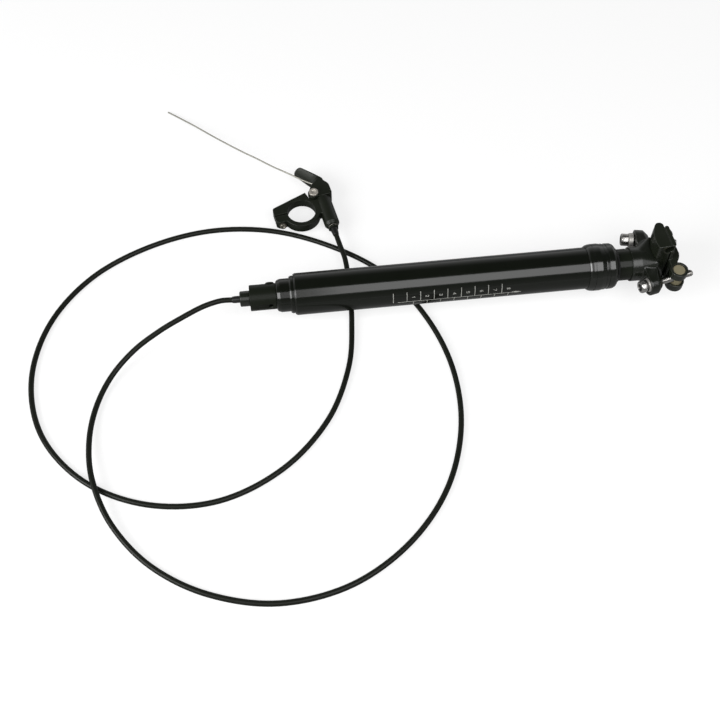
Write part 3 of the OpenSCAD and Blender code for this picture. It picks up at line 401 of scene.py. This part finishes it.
gloss_black = finish("gloss_black", (0.003, 0.004, 0.0024), (0.0048, 0.006, 0.004), (0.1, 0.16),
                     specular=0.4, bump=0.02, lines=0.25)
print_white = finish("print_white", (0.3, 0.3, 0.28), (0.42, 0.42, 0.39), (0.45, 0.6), scale=1800)
strokes = {
    1: [(0.25, 0.75), (0.55, 1), (0.55, 0)],
    2: [(0.06, 0.76), (0.22, 0.95), (0.6, 1), (0.92, 0.8), (0.8, 0.5), (0.08, 0), (0.95, 0)],
    3: [(0.06, 0.88), (0.4, 1), (0.85, 0.92), (0.88, 0.66), (0.45, 0.53), (0.92, 0.38), (0.88, 0.1),
        (0.4, 0), (0.05, 0.14)],
    4: [(0.72, 0), (0.72, 1), (0.04, 0.3), (1, 0.3)],
    5: [(0.9, 1), (0.2, 1), (0.12, 0.55), (0.55, 0.64), (0.92, 0.42), (0.85, 0.1), (0.4, 0), (0.05, 0.12)],
    6: [(0.85, 0.92), (0.5, 1), (0.14, 0.7), (0.08, 0.25), (0.4, 0), (0.85, 0.1), (0.92, 0.4), (0.5, 0.58),
        (0.12, 0.4)],
    7: [(0.05, 1), (0.95, 1), (0.4, 0)],
    8: [(0.5, 0.53), (0.14, 0.72), (0.3, 0.98), (0.7, 0.98), (0.86, 0.72), (0.5, 0.53), (0.08, 0.28),
        (0.3, 0.02), (0.7, 0.02), (0.92, 0.28), (0.5, 0.53)],
}
first_mark, pitch, marks, stroke = 71.5, 10.0, 9, 0.45
base_arc, digit_arc = math.radians(-2) * tube_r, math.radians(14.5) * tube_r
long_top, short_foot = math.radians(30.5) * tube_r, math.radians(-20) * tube_r
line_start, line_end, arrow_tip, arrow_step = 75, 160, 165.8, 1.6
digit_ahead, digit_tall, digit_wide, digit_stroke = 4.9, 2.2, 1.7, 0.36


def printed_piece(name, *strips):
    """One object of printed strips, each given by its points and its width."""
    verts, faces = [], []
    for points, width in strips:
        print_strip(verts, faces, points, width)
    return add_mesh(name, verts, faces, print_white)


strips = [([(line_start, base_arc), (line_end, base_arc)], stroke)]
for back, width in ((0, 0.5), (1.2, 1.0), (2.6, 1.5), (4.0, 2.0)):
    tip = arrow_tip - back
    strips.append(([(tip - arrow_step, base_arc), (tip, base_arc)], width))
for digit, shape in strokes.items():
    foot = first_mark + pitch * digit + digit_ahead - digit_tall / 2
    left = digit_arc + digit_wide / 2
    points = [(foot + digit_tall * up, left - digit_wide * right) for right, up in shape]
    strips.append((points, digit_stroke))
printed = printed_piece("scale_print", *strips)
long_mark = printed_piece("long_mark", ([(0, base_arc), (0, long_top)], stroke))
short_mark = printed_piece("short_mark", ([(0, short_foot), (0, base_arc)], stroke))
tube = lathe("outer_tube_drawn", rounded([
    (0, bore_r, 0.3), (0, 14.5, 0.3), (1.4, tube_r, 0.8), (217, tube_r, 0.2), (217, thread_r, 0.15),
    (225, thread_r, 0.3), (225, bore_r, 0.3),
]), 128, gloss_black, print_white)
scale = bpy.data.node_groups.new("printed_scale", "GeometryNodeTree")
sockets = {}
for label, kind in (("Geometry", "Geometry"), ("Print", "Object"), ("Long mark", "Object"),
                    ("Short mark", "Object"), ("Marks", "Int"), ("Pitch", "Float"), ("First", "Float"),
                    ("Half way", "Float"), ("Paint", "Material")):
    socket = scale.interface.new_socket(label, in_out="INPUT", socket_type="NodeSocket" + kind)
    sockets[label] = socket.identifier
scale.interface.new_socket("Geometry", in_out="OUTPUT", socket_type="NodeSocketGeometry")
gin = scale.nodes.new("NodeGroupInput")
gout = scale.nodes.new("NodeGroupOutput")
join = scale.nodes.new("GeometryNodeJoinGeometry")
rows = scale.nodes.new("GeometryNodeJoinGeometry")
painted = scale.nodes.new("GeometryNodeSetMaterial")
every = scale.nodes.new("GeometryNodeRealizeInstances")
step = scale.nodes.new("ShaderNodeCombineXYZ")
rest = scale.nodes.new("GeometryNodeObjectInfo")
scale.links.new(gin.outputs["Pitch"], step.inputs["X"])
scale.links.new(gin.outputs["Print"], rest.inputs["Object"])
scale.links.new(rest.outputs["Geometry"], rows.inputs["Geometry"])
for mark, fewer in (("Long mark", 0), ("Short mark", 1)):
    row = scale.nodes.new("GeometryNodeMeshLine")
    start = scale.nodes.new("ShaderNodeCombineXYZ")
    shift = scale.nodes.new("ShaderNodeMath")
    shift.operation = "MULTIPLY_ADD"
    shift.inputs[1].default_value = fewer
    count = scale.nodes.new("ShaderNodeMath")
    count.operation = "SUBTRACT"
    count.inputs[1].default_value = fewer
    shape = scale.nodes.new("GeometryNodeObjectInfo")
    copies = scale.nodes.new("GeometryNodeInstanceOnPoints")
    scale.links.new(gin.outputs["Half way"], shift.inputs[0])
    scale.links.new(gin.outputs["First"], shift.inputs[2])
    scale.links.new(shift.outputs[0], start.inputs["X"])
    scale.links.new(gin.outputs["Marks"], count.inputs[0])
    scale.links.new(count.outputs[0], row.inputs["Count"])
    scale.links.new(start.outputs[0], row.inputs["Start Location"])
    scale.links.new(step.outputs[0], row.inputs["Offset"])
    scale.links.new(gin.outputs[mark], shape.inputs["Object"])
    scale.links.new(row.outputs["Mesh"], copies.inputs["Points"])
    scale.links.new(shape.outputs["Geometry"], copies.inputs["Instance"])
    scale.links.new(copies.outputs["Instances"], rows.inputs["Geometry"])
scale.links.new(rows.outputs["Geometry"], every.inputs["Geometry"])
scale.links.new(every.outputs["Geometry"], painted.inputs["Geometry"])
scale.links.new(gin.outputs["Paint"], painted.inputs["Material"])
scale.links.new(painted.outputs["Geometry"], join.inputs["Geometry"])
scale.links.new(gin.outputs["Geometry"], join.inputs["Geometry"])
scale.links.new(join.outputs["Geometry"], gout.inputs["Geometry"])
marking = tube.modifiers.new("printed_scale", "NODES")
marking.node_group = scale
for label, value in (("Print", printed), ("Long mark", long_mark), ("Short mark", short_mark),
                     ("Marks", marks), ("Pitch", pitch * mm), ("First", first_mark * mm),
                     ("Half way", 1.5 * pitch * mm), ("Paint", print_white)):
    marking[sockets[label]] = value


def settle(obj, *spent):
    """Turns an object's modifiers into its own mesh, and clears away the objects that they used."""
    graph = bpy.context.evaluated_depsgraph_get()
    mesh = bpy.data.meshes.new_from_object(obj.evaluated_get(graph), depsgraph=graph)
    obj.modifiers.clear()
    obj.data = mesh
    for other in spent:
        bpy.data.objects.remove(other)
    return obj


settle(tube, printed, long_mark, short_mark)
fit(tube, "outer_post", "black_gloss", "outer_tube")

# Seal collar: turned aluminium, screwed on the tube's top end. It has a tapered rear, one grip line, a
# plain band and a nose that steps down to the wiper.
collar_black = finish("collar_black", (0.003, 0.004, 0.0024), (0.0048, 0.006, 0.004), (0.1, 0.16),
                      specular=0.64, bump=0.02, lines=0.25)
collar = lathe("seal_collar_turned", rounded([
    (217, thread_r, 0.1), (217, 16.0, 0.4), (218.2, 16.8, 1.5), (219.6, 17.2, 3), (221.0, 17.42, 0.15),
    (221.05, 17.05, 0.05), (221.6, 17.05, 0.05), (221.65, 17.45, 0.15), (226.1, 17.5, 0.6),
    (229.35, 16.9, 0.05), (229.4, 17.08, 0.05), (229.8, 17.06, 0.05), (229.85, 16.85, 0.05),
    (231.9, 16.55, 0.1), (232.1, 17.0, 0.15), (235.7, 16.9, 1.5), (237.4, 16.2, 1.0), (238.2, 15.2, 0.3),
    (238.2, 13.9, 0.2), (235.3, 13.8, 0.1), (235.3, 12.4, 0.2), (225, 12.4, 0.2), (225, thread_r, 0.1),
]), 128, collar_black)
fit(collar, "outer_post", "black_gloss", "seal_collar")

# Wiper seal: moulded rubber, pressed in the collar's nose. Its thin lip runs on the stanchion and keeps
# dirt out of the tube.
rubber = finish("rubber", (0.006, 0.006, 0.006), (0.011, 0.011, 0.011), (0.45, 0.6),
                specular=0.3, scale=1400, bump=0.2)
wiper = lathe("wiper_seal_moulded", rounded([
    (235.3, 11.8, 0.2), (235.3, 13.78, 0.2), (238.5, 13.78, 0.5), (239.6, 12.9, 0.5), (240.4, 12.6, 0.3),
    (240.4, 11.8, 0.2),
]), 96, rubber)
fit(wiper, "outer_post", "black_rubber", "wiper_seal")

# Bottom cap: turned aluminium, screwed in the tube's lower end, gloss black, with a flange and a collar
# whose edge is rounded.
cap = lathe("bottom_cap_turned", rounded([
    (-22, 2.8, 0.2), (-22, 7, 0.4), (-13, 7, 0.1), (-13, 10.2, 1.0), (-12.2, 11.35, 1.2),
    (-9.8, 12.25, 2.0), (-3, 12.25, 0.2), (-3, 13.1, 0.2), (-1.9, 13.8, 0.4), (-0.05, 13.8, 0.2),
    (-0.05, 13.5, 0.1), (12, 13.5, 0.5), (12, 4.02, 0.3), (-10, 4.02, 0.2), (-10, 2.8, 0.2),
]), 96, gloss_black)
fit(cap, "outer_post", "black_gloss", "bottom_cap")

# Actuator housing: turned aluminium in satin black, screwed on the cap's spigot. It is drilled for its
# lock screw, and has a second, empty hole on the near side.
satin_black = finish("satin_black", (0.006, 0.0076, 0.0048), (0.0095, 0.0115, 0.008), (0.28, 0.36),
                     specular=0.13, bump=0.05, lines=0.3)
lock_x, lock_angle, hole_angle = -17.2, 32, 174
lock_cos, lock_sin = math.cos(math.radians(lock_angle)), math.sin(math.radians(lock_angle))
lock_frame = Matrix.Translation(Vector((lock_x, 0, 0)) * mm) @ Matrix((
    (0, 0, 1, 0), (lock_cos, lock_sin, 0, 0), (lock_sin, -lock_cos, 0, 0), (0, 0, 0, 1)))
housing = lathe("actuator_housing_turned", rounded([
    (-32.3, 3.52, 0.1), (-32.3, 9.55, 0.35), (-13.05, 9.55, 0.25), (-13.05, 7.02, 0.1), (-22, 7.02, 0.1),
    (-22, 4.5, 0.1), (-29.3, 4.5, 0.1), (-29.3, 3.52, 0.1),
]), 96, satin_black)
hole_turn = math.radians(hole_angle - lock_angle)
hole_frame = Matrix.Rotation(hole_turn, 4, "X") @ lock_frame
drills = [
    lathe("lock_drill", [(0, 2.2), (8.6, 2.2), (8.61, 3.02), (20, 3.02)], 48, satin_black,
          place=lock_frame, bored=False),
    lathe("hole_drill", [(5, 1.9), (20, 1.9)], 48, satin_black, place=hole_frame, bored=False),
]
for drill in drills:
    housing.modifiers.new(drill.name, "BOOLEAN").object = drill
settle(housing, *drills)
fit(housing, "outer_post", "black_satin", "actuator_housing")

# Lock screw: black steel with a low domed head and a hexagon socket. It goes through the housing into the
# cap's spigot and keeps the two from turning.


def hexagon(flats):
    """Radius of a hexagon of that width across its flats, by angle."""
    return lambda a: flats / 2 / math.cos((a + math.pi / 6) % (math.pi / 3) - math.pi / 6)


lock = lathe("lock_screw_head", [
    (9.4, 0.02), (9.4, hexagon(2.5)), (10.5, hexagon(2.5)), (10.58, 1.6), (10.56, 1.9), (10.44, 2.3),
    (10.2, 2.75), (9.9, 3.15), (9.65, 3.35), (9.6, 3.3), (9.55, 2.99), (8.96, 2.99), (8.94, 2.95),
    (8.94, 2.2), (5.0, 2.2), (5.0, 0.02),
], 48, satin_black, place=lock_frame, bored=False)
fit(lock, "outer_post", "black_satin", "lock_screw")

# Cable stop: a turned aluminium knob, polished black, with a bevelled rim. It is screwed in the housing's
# end and takes the cable's ferrule.
stop_black = finish("stop_black", (0.006, 0.0076, 0.0048), (0.0095, 0.0115, 0.008), (0.18, 0.26),
                    specular=0.52, lines=0.3)
stop = lathe("cable_stop_turned", rounded([
    (-35.6, 0.9, 0.1), (-35.6, 2.62, 0.1), (-39.6, 2.62, 0.2), (-39.6, 5.1, 0.15), (-39.0, 5.7, 0.3),
    (-32.4, 5.7, 0.3), (-32.4, 3.5, 0.1), (-29.3, 3.5, 0.2), (-29.3, 0.9, 0.2),
]), 72, stop_black)
fit(stop, "outer_post", "black_satin", "cable_stop")

# Post ferrule: a thin black cap with a rounded rim, crimped on the cable's end. It is pushed in the stop
# and held there by the wire's pull.
end_black = finish("ferrule_black", (0.005, 0.0055, 0.005), (0.01, 0.0105, 0.01), (0.3, 0.42), bump=0.12)
ferrule = lathe("post_ferrule_cap", rounded([
    (-45.4, 0.9, 0.1), (-45.4, 2.3, 0.4), (-43.4, 2.6, 0.6), (-35.62, 2.6, 0.1), (-35.62, 0.9, 0.1),
]), 48, end_black)
fit(ferrule, "outer_post", "black_plastic", "post_ferrule")

# Stanchion: drawn and ground aluminium, gloss black, sliding in the tube. Its lower end holds the guide
# bushing and the gas cartridge.
slide_black = finish("slide_black", (0.007, 0.0085, 0.0055), (0.0105, 0.0125, 0.009), (0.14, 0.2),
                     specular=0.14, bump=0.02, lines=0.25)
stanchion = lathe("stanchion_ground", rounded([
    (22, 10.25, 0.2), (22, 11.75, 0.3), (261.98, 11.75, 0.2), (261.98, 10.25, 0.2), (30.02, 10.25, 0.1),
    (30.02, 10.86, 0.1), (28.38, 10.86, 0.1), (28.38, 10.25, 0.1),
]), 96, slide_black)
fit(stanchion, "stanchion", "black_gloss", "stanchion_tube")

# Head: forged aluminium, blasted and painted satin black, pressed on the stanchion. Its neck flares into
# the cradle's round seat, with an ear each side for a bolt.
nodes = frame["nodes"]


def forged(name, node, voxel, passes, material):
    """A CAD piece's own form with every edge eased: merged, wrapped in an even skin and smoothed. Its
    "edge" attribute says where it is still sharp."""
    blunt = 0.15
    mesh = nodes[node].data.copy()
    work = bmesh.new()
    work.from_mesh(mesh)
    bmesh.ops.remove_doubles(work, verts=work.verts, dist=1e-6)
    work.to_mesh(mesh)
    work.free()
    mesh.materials.clear()
    mesh.materials.append(material)
    obj = bpy.data.objects.new(name, mesh)
    scene.collection.objects.link(obj)
    wrap = obj.modifiers.new("wrap", "REMESH")
    wrap.mode = "VOXEL"
    wrap.voxel_size = voxel * mm
    ease = obj.modifiers.new("ease", "SMOOTH")
    ease.factor = 0.5
    ease.iterations = passes
    settle(obj)
    mesh = obj.data
    mesh.polygons.foreach_set("use_smooth", [True] * len(mesh.polygons))
    bend, count = [0.0] * len(mesh.vertices), [0] * len(mesh.vertices)
    for edge in mesh.edges:
        a, b = (mesh.vertices[i] for i in edge.vertices)
        gap = a.co - b.co
        turned = (a.normal - b.normal).dot(gap) / gap.length_squared
        for vert in (a, b):
            bend[vert.index] += turned
            count[vert.index] += 1
    sharp = [min(1.0, max(0.0, total / max(1, n) * mm - blunt)) for total, n in zip(bend, count)]
    mesh.attributes.new("edge", "FLOAT", "POINT").data.foreach_set("value", sharp)
    return obj


forged_black = finish("forged_black", (0.0045, 0.0058, 0.0036), (0.008, 0.0098, 0.0066), (0.22, 0.31),
                      specular=0.5, scale=1600, bump=0.12)
head = forged("post_head_forged", "post_head", 0.4, 8, forged_black)
fit(head, "stanchion", "black_satin", "post_head")

# Clamp bolts: plated steel socket-head bolts, bright outside, with painted shade in the broached socket. Each
# passes its ear, and its thread shows between the ear and the barrel nut.
bright = finish("bright_steel", (0.4, 0.39, 0.38), (0.54, 0.53, 0.51), (0.16, 0.26),
                metallic=1.0, bump=0.04, lines=0.5)
# A dull near-black: painted shade for the bolts' sockets.
socket_shade = finish("socket_shade", (0.01, 0.0105, 0.0095), (0.018, 0.0185, 0.0165), (0.5, 0.62),
                      specular=0.2)
socket_mouth, socket_floor, socket_r, shank_r = -5.4, -2, 2.7, 2.48


def thread(start, end, r, pitch, depth):
    """Rings of a screw thread: the radius rises and falls once in each pitch, turning as it goes."""
    steps = round((end - start) / pitch * 8)
    rings = []
    for k in range(steps + 1):
        x = start + (end - start) * k / steps
        rings.append((x, lambda a, x=x: r - depth * (0.5 + 0.5 * math.cos(2 * math.pi * x / pitch - a))))
    return rings


def knurled(a):
    """Radius of a bolt head's side, with its fine ridges."""
    head_r, half_ridge, ridges = 4.6, 0.07, 36
    return head_r - half_ridge * (1 + math.cos(ridges * a))


bolt_frames = {}
for side, where, angle, length in (("front", (255.5, 22.4, 0), -9.925, 36),
                                   ("rear", (259.016, -20.826, 0), 12.413, 37)):
    bolt_frames[side] = Matrix.Translation(Vector(where) * mm) @ Matrix.Rotation(math.radians(angle), 4, "Z")
    bolt = lathe(side + "_bolt_plated", [
        (-2.1, 0.02), (-2.1, hexagon(4.6)), (-5.3, hexagon(4.6)), (-5.5, 2.8), (-5.55, 2.9),
        (-5.55, 3.9), (-5.45, 4.25), (-5.2, 4.42), (-4.95, 4.46), (-4.8, knurled), (-0.4, knurled),
        (-0.2, 4.46), (-0.02, 4.4), (-0.02, 2.5), (0.1, shank_r), (9, shank_r),
    ] + thread(9.6, length - 0.7, shank_r, 0.8, 0.42) + [(length - 0.1, 1.95), (length, 1.8), (length, 0.02)],
        144, bright, socket_shade, place=bolt_frames[side], bored=False)
    to_bolt = bolt_frames[side].inverted()
    # Faces in the socket take the dull near-black: painted shade in the recess.
    for poly in bolt.data.polygons:
        spot = to_bolt @ poly.center / mm
        in_socket = socket_mouth < spot.x < socket_floor and math.hypot(spot.y, spot.z) < socket_r
        poly.material_index = 1 if in_socket else 0
    fit(bolt, side + "_bolt", "bright_steel", side + "_bolt")

# Washers: coned steel washers, plated and tumbled to a dull grey. One sits under each bolt's head and rocks
# in its ear's seat as the bolt swings.
washer_steel = finish("washer_steel", (0.34, 0.33, 0.31), (0.52, 0.51, 0.49), (0.42, 0.55),
                      metallic=0.7, scale=1500, bump=0.25)
for side, place in bolt_frames.items():
    washer = lathe(side + "_washer_coned", rounded([
        (0, 2.52, 0.1), (0, 4.9, 0.3), (1.0, 5.3, 0.3), (3.2, 5.3, 0.2), (3.8, 4.0, 0.2), (3.8, 2.52, 0.1),
    ]), 64, washer_steel, place=place)
    fit(washer, side + "_bolt", "bright_steel", side + "_washer")

# Cradle: the clamp's forged lower half, satin black. Its round underside tilts in the head's seat and its
# two grooves carry the saddle's rails.
# Its sharp edges take a lighter tone: painted highlight in place of the edges' glints, with a little wear.
clamp_black = finish("clamp_black", (0.007, 0.0088, 0.0055), (0.012, 0.0145, 0.0095), (0.15, 0.24),
                     specular=0.4, scale=1600, bump=0.06, edge_glint_and_wear=(0.022, 0.024, 0.019))
cradle = forged("clamp_cradle_forged", "clamp_cradle", 0.35, 4, clamp_black)
fit(cradle, "saddle_clamp", "black_satin", "clamp_cradle")

# Top clamp: the forged upper half, with a cap over each rail, a crowned middle and two rings round each
# barrel nut.
cap_piece = forged("top_clamp_forged", "top_clamp", 0.35, 4, clamp_black)
fit(cap_piece, "saddle_clamp", "black_satin", "top_clamp")

# Barrel nuts: turned from plain steel bar and cross-drilled for their bolts. They lie in the top clamp's
# rings, where their bare, bevelled ends show tan.
tan_steel = finish("tan_steel", (0.17, 0.15, 0.09), (0.31, 0.28, 0.18), (0.45, 0.6),
                   metallic=0.3, scale=1500, bump=0.3)
end_z, end_share = 8.4, 0.92
for side in ("front", "rear"):
    nut = forged(side + "_barrel_nut_turned", side + "_barrel_nut", 0.25, 3, tan_steel)
    centre = sum((vert.co for vert in nut.data.vertices), Vector()) / len(nut.data.vertices)
    for vert in nut.data.vertices:
        off = vert.co - centre
        if abs(off.z) > end_z * mm:
            vert.co = centre + Vector((off.x * end_share, off.y * end_share, off.z))
    fit(nut, side + "_nut", "grey_steel", side + "_barrel_nut")

# Remote body: cast aluminium in satin black. A slit ring closes on the handlebar, and a barrel beside it
# takes the cable. The seats round its tongue are faced flat, so that the lever's fork turns clear of them.
cast_black = finish("cast_black", (0.0065, 0.0082, 0.0052), (0.011, 0.0132, 0.009), (0.3, 0.4),
                    specular=0.22, scale=1600, bump=0.12)
body = forged("remote_body_cast", "remote_body", 0.26, 1, cast_black)
to_local = remote_frame.inverted()
pivot_spot = Vector((13.7, 13.3))
seat_r, tongue_half, skin_half = 4.95, 2.2, 2.75
for vert in body.data.vertices:
    p = to_local @ vert.co / mm
    if (p.xy - pivot_spot).length < seat_r and tongue_half < abs(p.z) < skin_half:
        p.z = math.copysign(tongue_half, p.z)
        vert.co = remote_frame @ (p * mm)
fit(body, "outer_post", "black_satin", "remote_body")

# Clamp screw: grey steel, with a socket head that bears on one ear of the slit ring. It is screwed into the
# other ear and closes the ring on the bar.
grey = finish("grey_steel", (0.12, 0.112, 0.092), (0.2, 0.188, 0.158), (0.3, 0.42),
              metallic=0.8, bump=0.06, lines=0.4)
screw_spot = Matrix.Translation(Vector((-17, -6.4, 0)) * mm)
screw_frame = remote_frame @ screw_spot @ Matrix.Rotation(math.pi / 2, 4, "Z")
screw = lathe("clamp_screw_head", [
    (-0.6, 0.02), (-0.6, hexagon(2.5)), (-2.1, hexagon(2.5)), (-2.2, 1.6), (-2.2, 2.3), (-2.1, 2.55),
    (-1.85, 2.7), (-1.6, 2.75), (-0.2, 2.75), (-0.02, 2.65), (-0.02, 2.0), (0.1, 1.98),
] + thread(1.0, 13.2, 1.98, 0.7, 0.3) + [(13.6, 1.5), (13.6, 0.02)],
    48, grey, place=screw_frame, bored=False)
fit(screw, "outer_post", "grey_steel", "clamp_screw")

# Pivot bolt and its nut: pale plated steel, turned and with a hexagon socket. The bolt goes down through the
# lever's fork and the body's tongue, and its flat head shows on top of the lever.
pale_steel = finish("pale_steel", (0.36, 0.34, 0.3), (0.5, 0.47, 0.42), (0.4, 0.5),
                    metallic=0.6, bump=0.08, lines=0.6)
pivot_place = remote_frame @ Matrix.Translation(pivot_spot.to_3d() * mm)
pivot_frame = pivot_place @ Matrix.Rotation(-math.pi / 2, 4, "Y")
pivot = lathe("pivot_bolt_head", [
    (7.4, 0.02), (7.4, hexagon(3.6)), (7.72, hexagon(3.7)), (7.75, 2.3), (7.75, 3.2), (7.68, 3.45),
    (7.5, 3.62), (7.25, 3.7), (6.3, 3.7), (6.16, 3.6), (6.16, 2.0), (6.0, 1.98),
    (-7.9, 1.98), (-8.0, 1.8), (-8.0, 0.02),
], 48, pale_steel, place=pivot_frame, bored=False)
fit(pivot, "outer_post", "grey_steel", "pivot_bolt")
pivot_nut = lathe("pivot_nut_hex", [
    (-8.4, 2.02), (-8.4, 3.2), (-8.2, hexagon(7)), (-6.4, hexagon(7)), (-6.17, 3.3), (-6.15, 3.2),
    (-6.15, 2.02),
], 48, pale_steel, place=pivot_frame)
fit(pivot_nut, "outer_post", "grey_steel", "pivot_nut")

# Thumb lever: cast aluminium in satin black, forked round the body's tongue. Its pad is dished and slopes
# towards the thumb.
pad_black = finish("pad_black", (0.016, 0.018, 0.014), (0.024, 0.0265, 0.0215), (0.5, 0.58),
                   specular=0.42, scale=1600, bump=0.2)
lever = forged("thumb_lever_cast", "thumb_lever", 0.3, 10, cast_black)
lever.data.materials.append(pad_black)
root, tip = Vector((20.2, 25.6)), Vector((8.7, 39.9))
run = (tip - root).normalized()
pad_start, pad_blend, top_blend = 1, 6, 4
slope_edge, pad_slope, dish_depth, dish_half = 4, 0.42, 0.7, 3.2
grip_start, grip_half, grip_facing = 3, 3.3, 0.6


def along_pad(point):
    """A point in the remote's own frame, and how far it lies along the pad and to one side of it."""
    p = to_local @ point / mm
    off = p.xy - root
    return p, off.dot(run), off.dot(Vector((-run.y, run.x)))


for vert in lever.data.vertices:
    p, along, out = along_pad(vert.co)
    if p.z > 0 and along > pad_start:
        gate = min(1.0, (along - pad_start) / pad_blend) * min(1.0, p.z / top_blend)
        slope = max(0.0, slope_edge + out) * pad_slope
        dish = dish_depth * max(0.0, 1 - (out / dish_half) ** 2)
        p.z -= gate * (slope + dish)
        vert.co = remote_frame @ (p * mm)
for poly in lever.data.polygons:
    p, along, out = along_pad(poly.center)
    faces_up = (to_local.to_3x3() @ poly.normal).z > grip_facing
    on_pad = along > grip_start and abs(out) < grip_half and p.z > 0 and faces_up
    poly.material_index = 1 if on_pad else 0
fit(lever, "lever", "black_satin", "thumb_lever")

# Barrel adjuster: a black turned screw with a hexagon at its end, whose edge band is pale steel as a painted
# highlight. It is screwed in the body's barrel, and turning it takes up slack in the wire.
barrel_spot = Matrix.Translation(Vector((20.25, 0, 0)) * mm)
adjuster_frame = remote_frame @ barrel_spot @ Matrix.Rotation(-math.pi / 2, 4, "Z")
glint_from, glint_to, glint_r = 19.7, 20.05, 3.55
adjuster = lathe("barrel_adjuster_hex", [
    (18.58, 2.86), (21.5, 2.86), (21.6, 2.95), (21.6, 3.5), (21.45, 3.72), (21.2, hexagon(7.5)),
    (glint_to, hexagon(7.5)), (glint_from, hexagon(7.5)), (19.45, 3.72), (19.3, 3.5), (19.3, 3.2), (10.2, 3.2),
    (10.0, 3.0), (10.0, 0.9), (18.5, 0.9), (18.56, 0.95),
], 72, satin_black, pale_steel, place=adjuster_frame)
# Faces on the hexagon's edge band take pale steel: a painted highlight.
for poly in adjuster.data.polygons:
    spot = adjuster_frame.inverted() @ poly.center / mm
    on_glint_band = glint_from < spot.x < glint_to and math.hypot(spot.y, spot.z) > glint_r
    poly.material_index = 1 if on_glint_band else 0
fit(adjuster, "adjuster", "black_satin", "barrel_adjuster")

# Remote ferrule: a black cap crimped on the cable's other end, which tapers to the housing. It is pushed in
# the adjuster and held there by the wire's pull.
far_ferrule = lathe("remote_ferrule_cap", rounded([
    (18.6, 0.9, 0.1), (18.6, 2.8, 0.2), (23.5, 2.8, 0.8), (27.6, 2.35, 0.5), (28.3, 2.15, 0.2),
    (28.3, 0.9, 0.1),
]), 48, end_black, place=adjuster_frame)
fit(far_ferrule, "outer_post", "black_plastic", "remote_ferrule")

# Pieces held inside: bronze bushings, keys and gland, a bare alloy cartridge and release rod, a ground
# steel rod, a spring ring, the wire's head and the lever's anchor screw. They keep their own solids.
bronze = finish("bronze", (0.3, 0.2, 0.09), (0.42, 0.3, 0.14), (0.35, 0.5), metallic=1.0)
alloy = finish("bare_alloy", (0.5, 0.5, 0.51), (0.62, 0.62, 0.63), (0.3, 0.42), metallic=1.0)
inside = {
    "bronze": bronze, "bare_alloy": alloy, "bright_steel": bright, "grey_steel": grey,
    "black_gloss": gloss_black, "black_satin": satin_black, "black_rubber": rubber,
    "black_plastic": cable_black,
}
for sub in frame["record"]["subparts"]:
    node = nodes[sub["node"]]
    node.data.materials.clear()
    node.data.materials.append(inside[sub["material_slot"]])
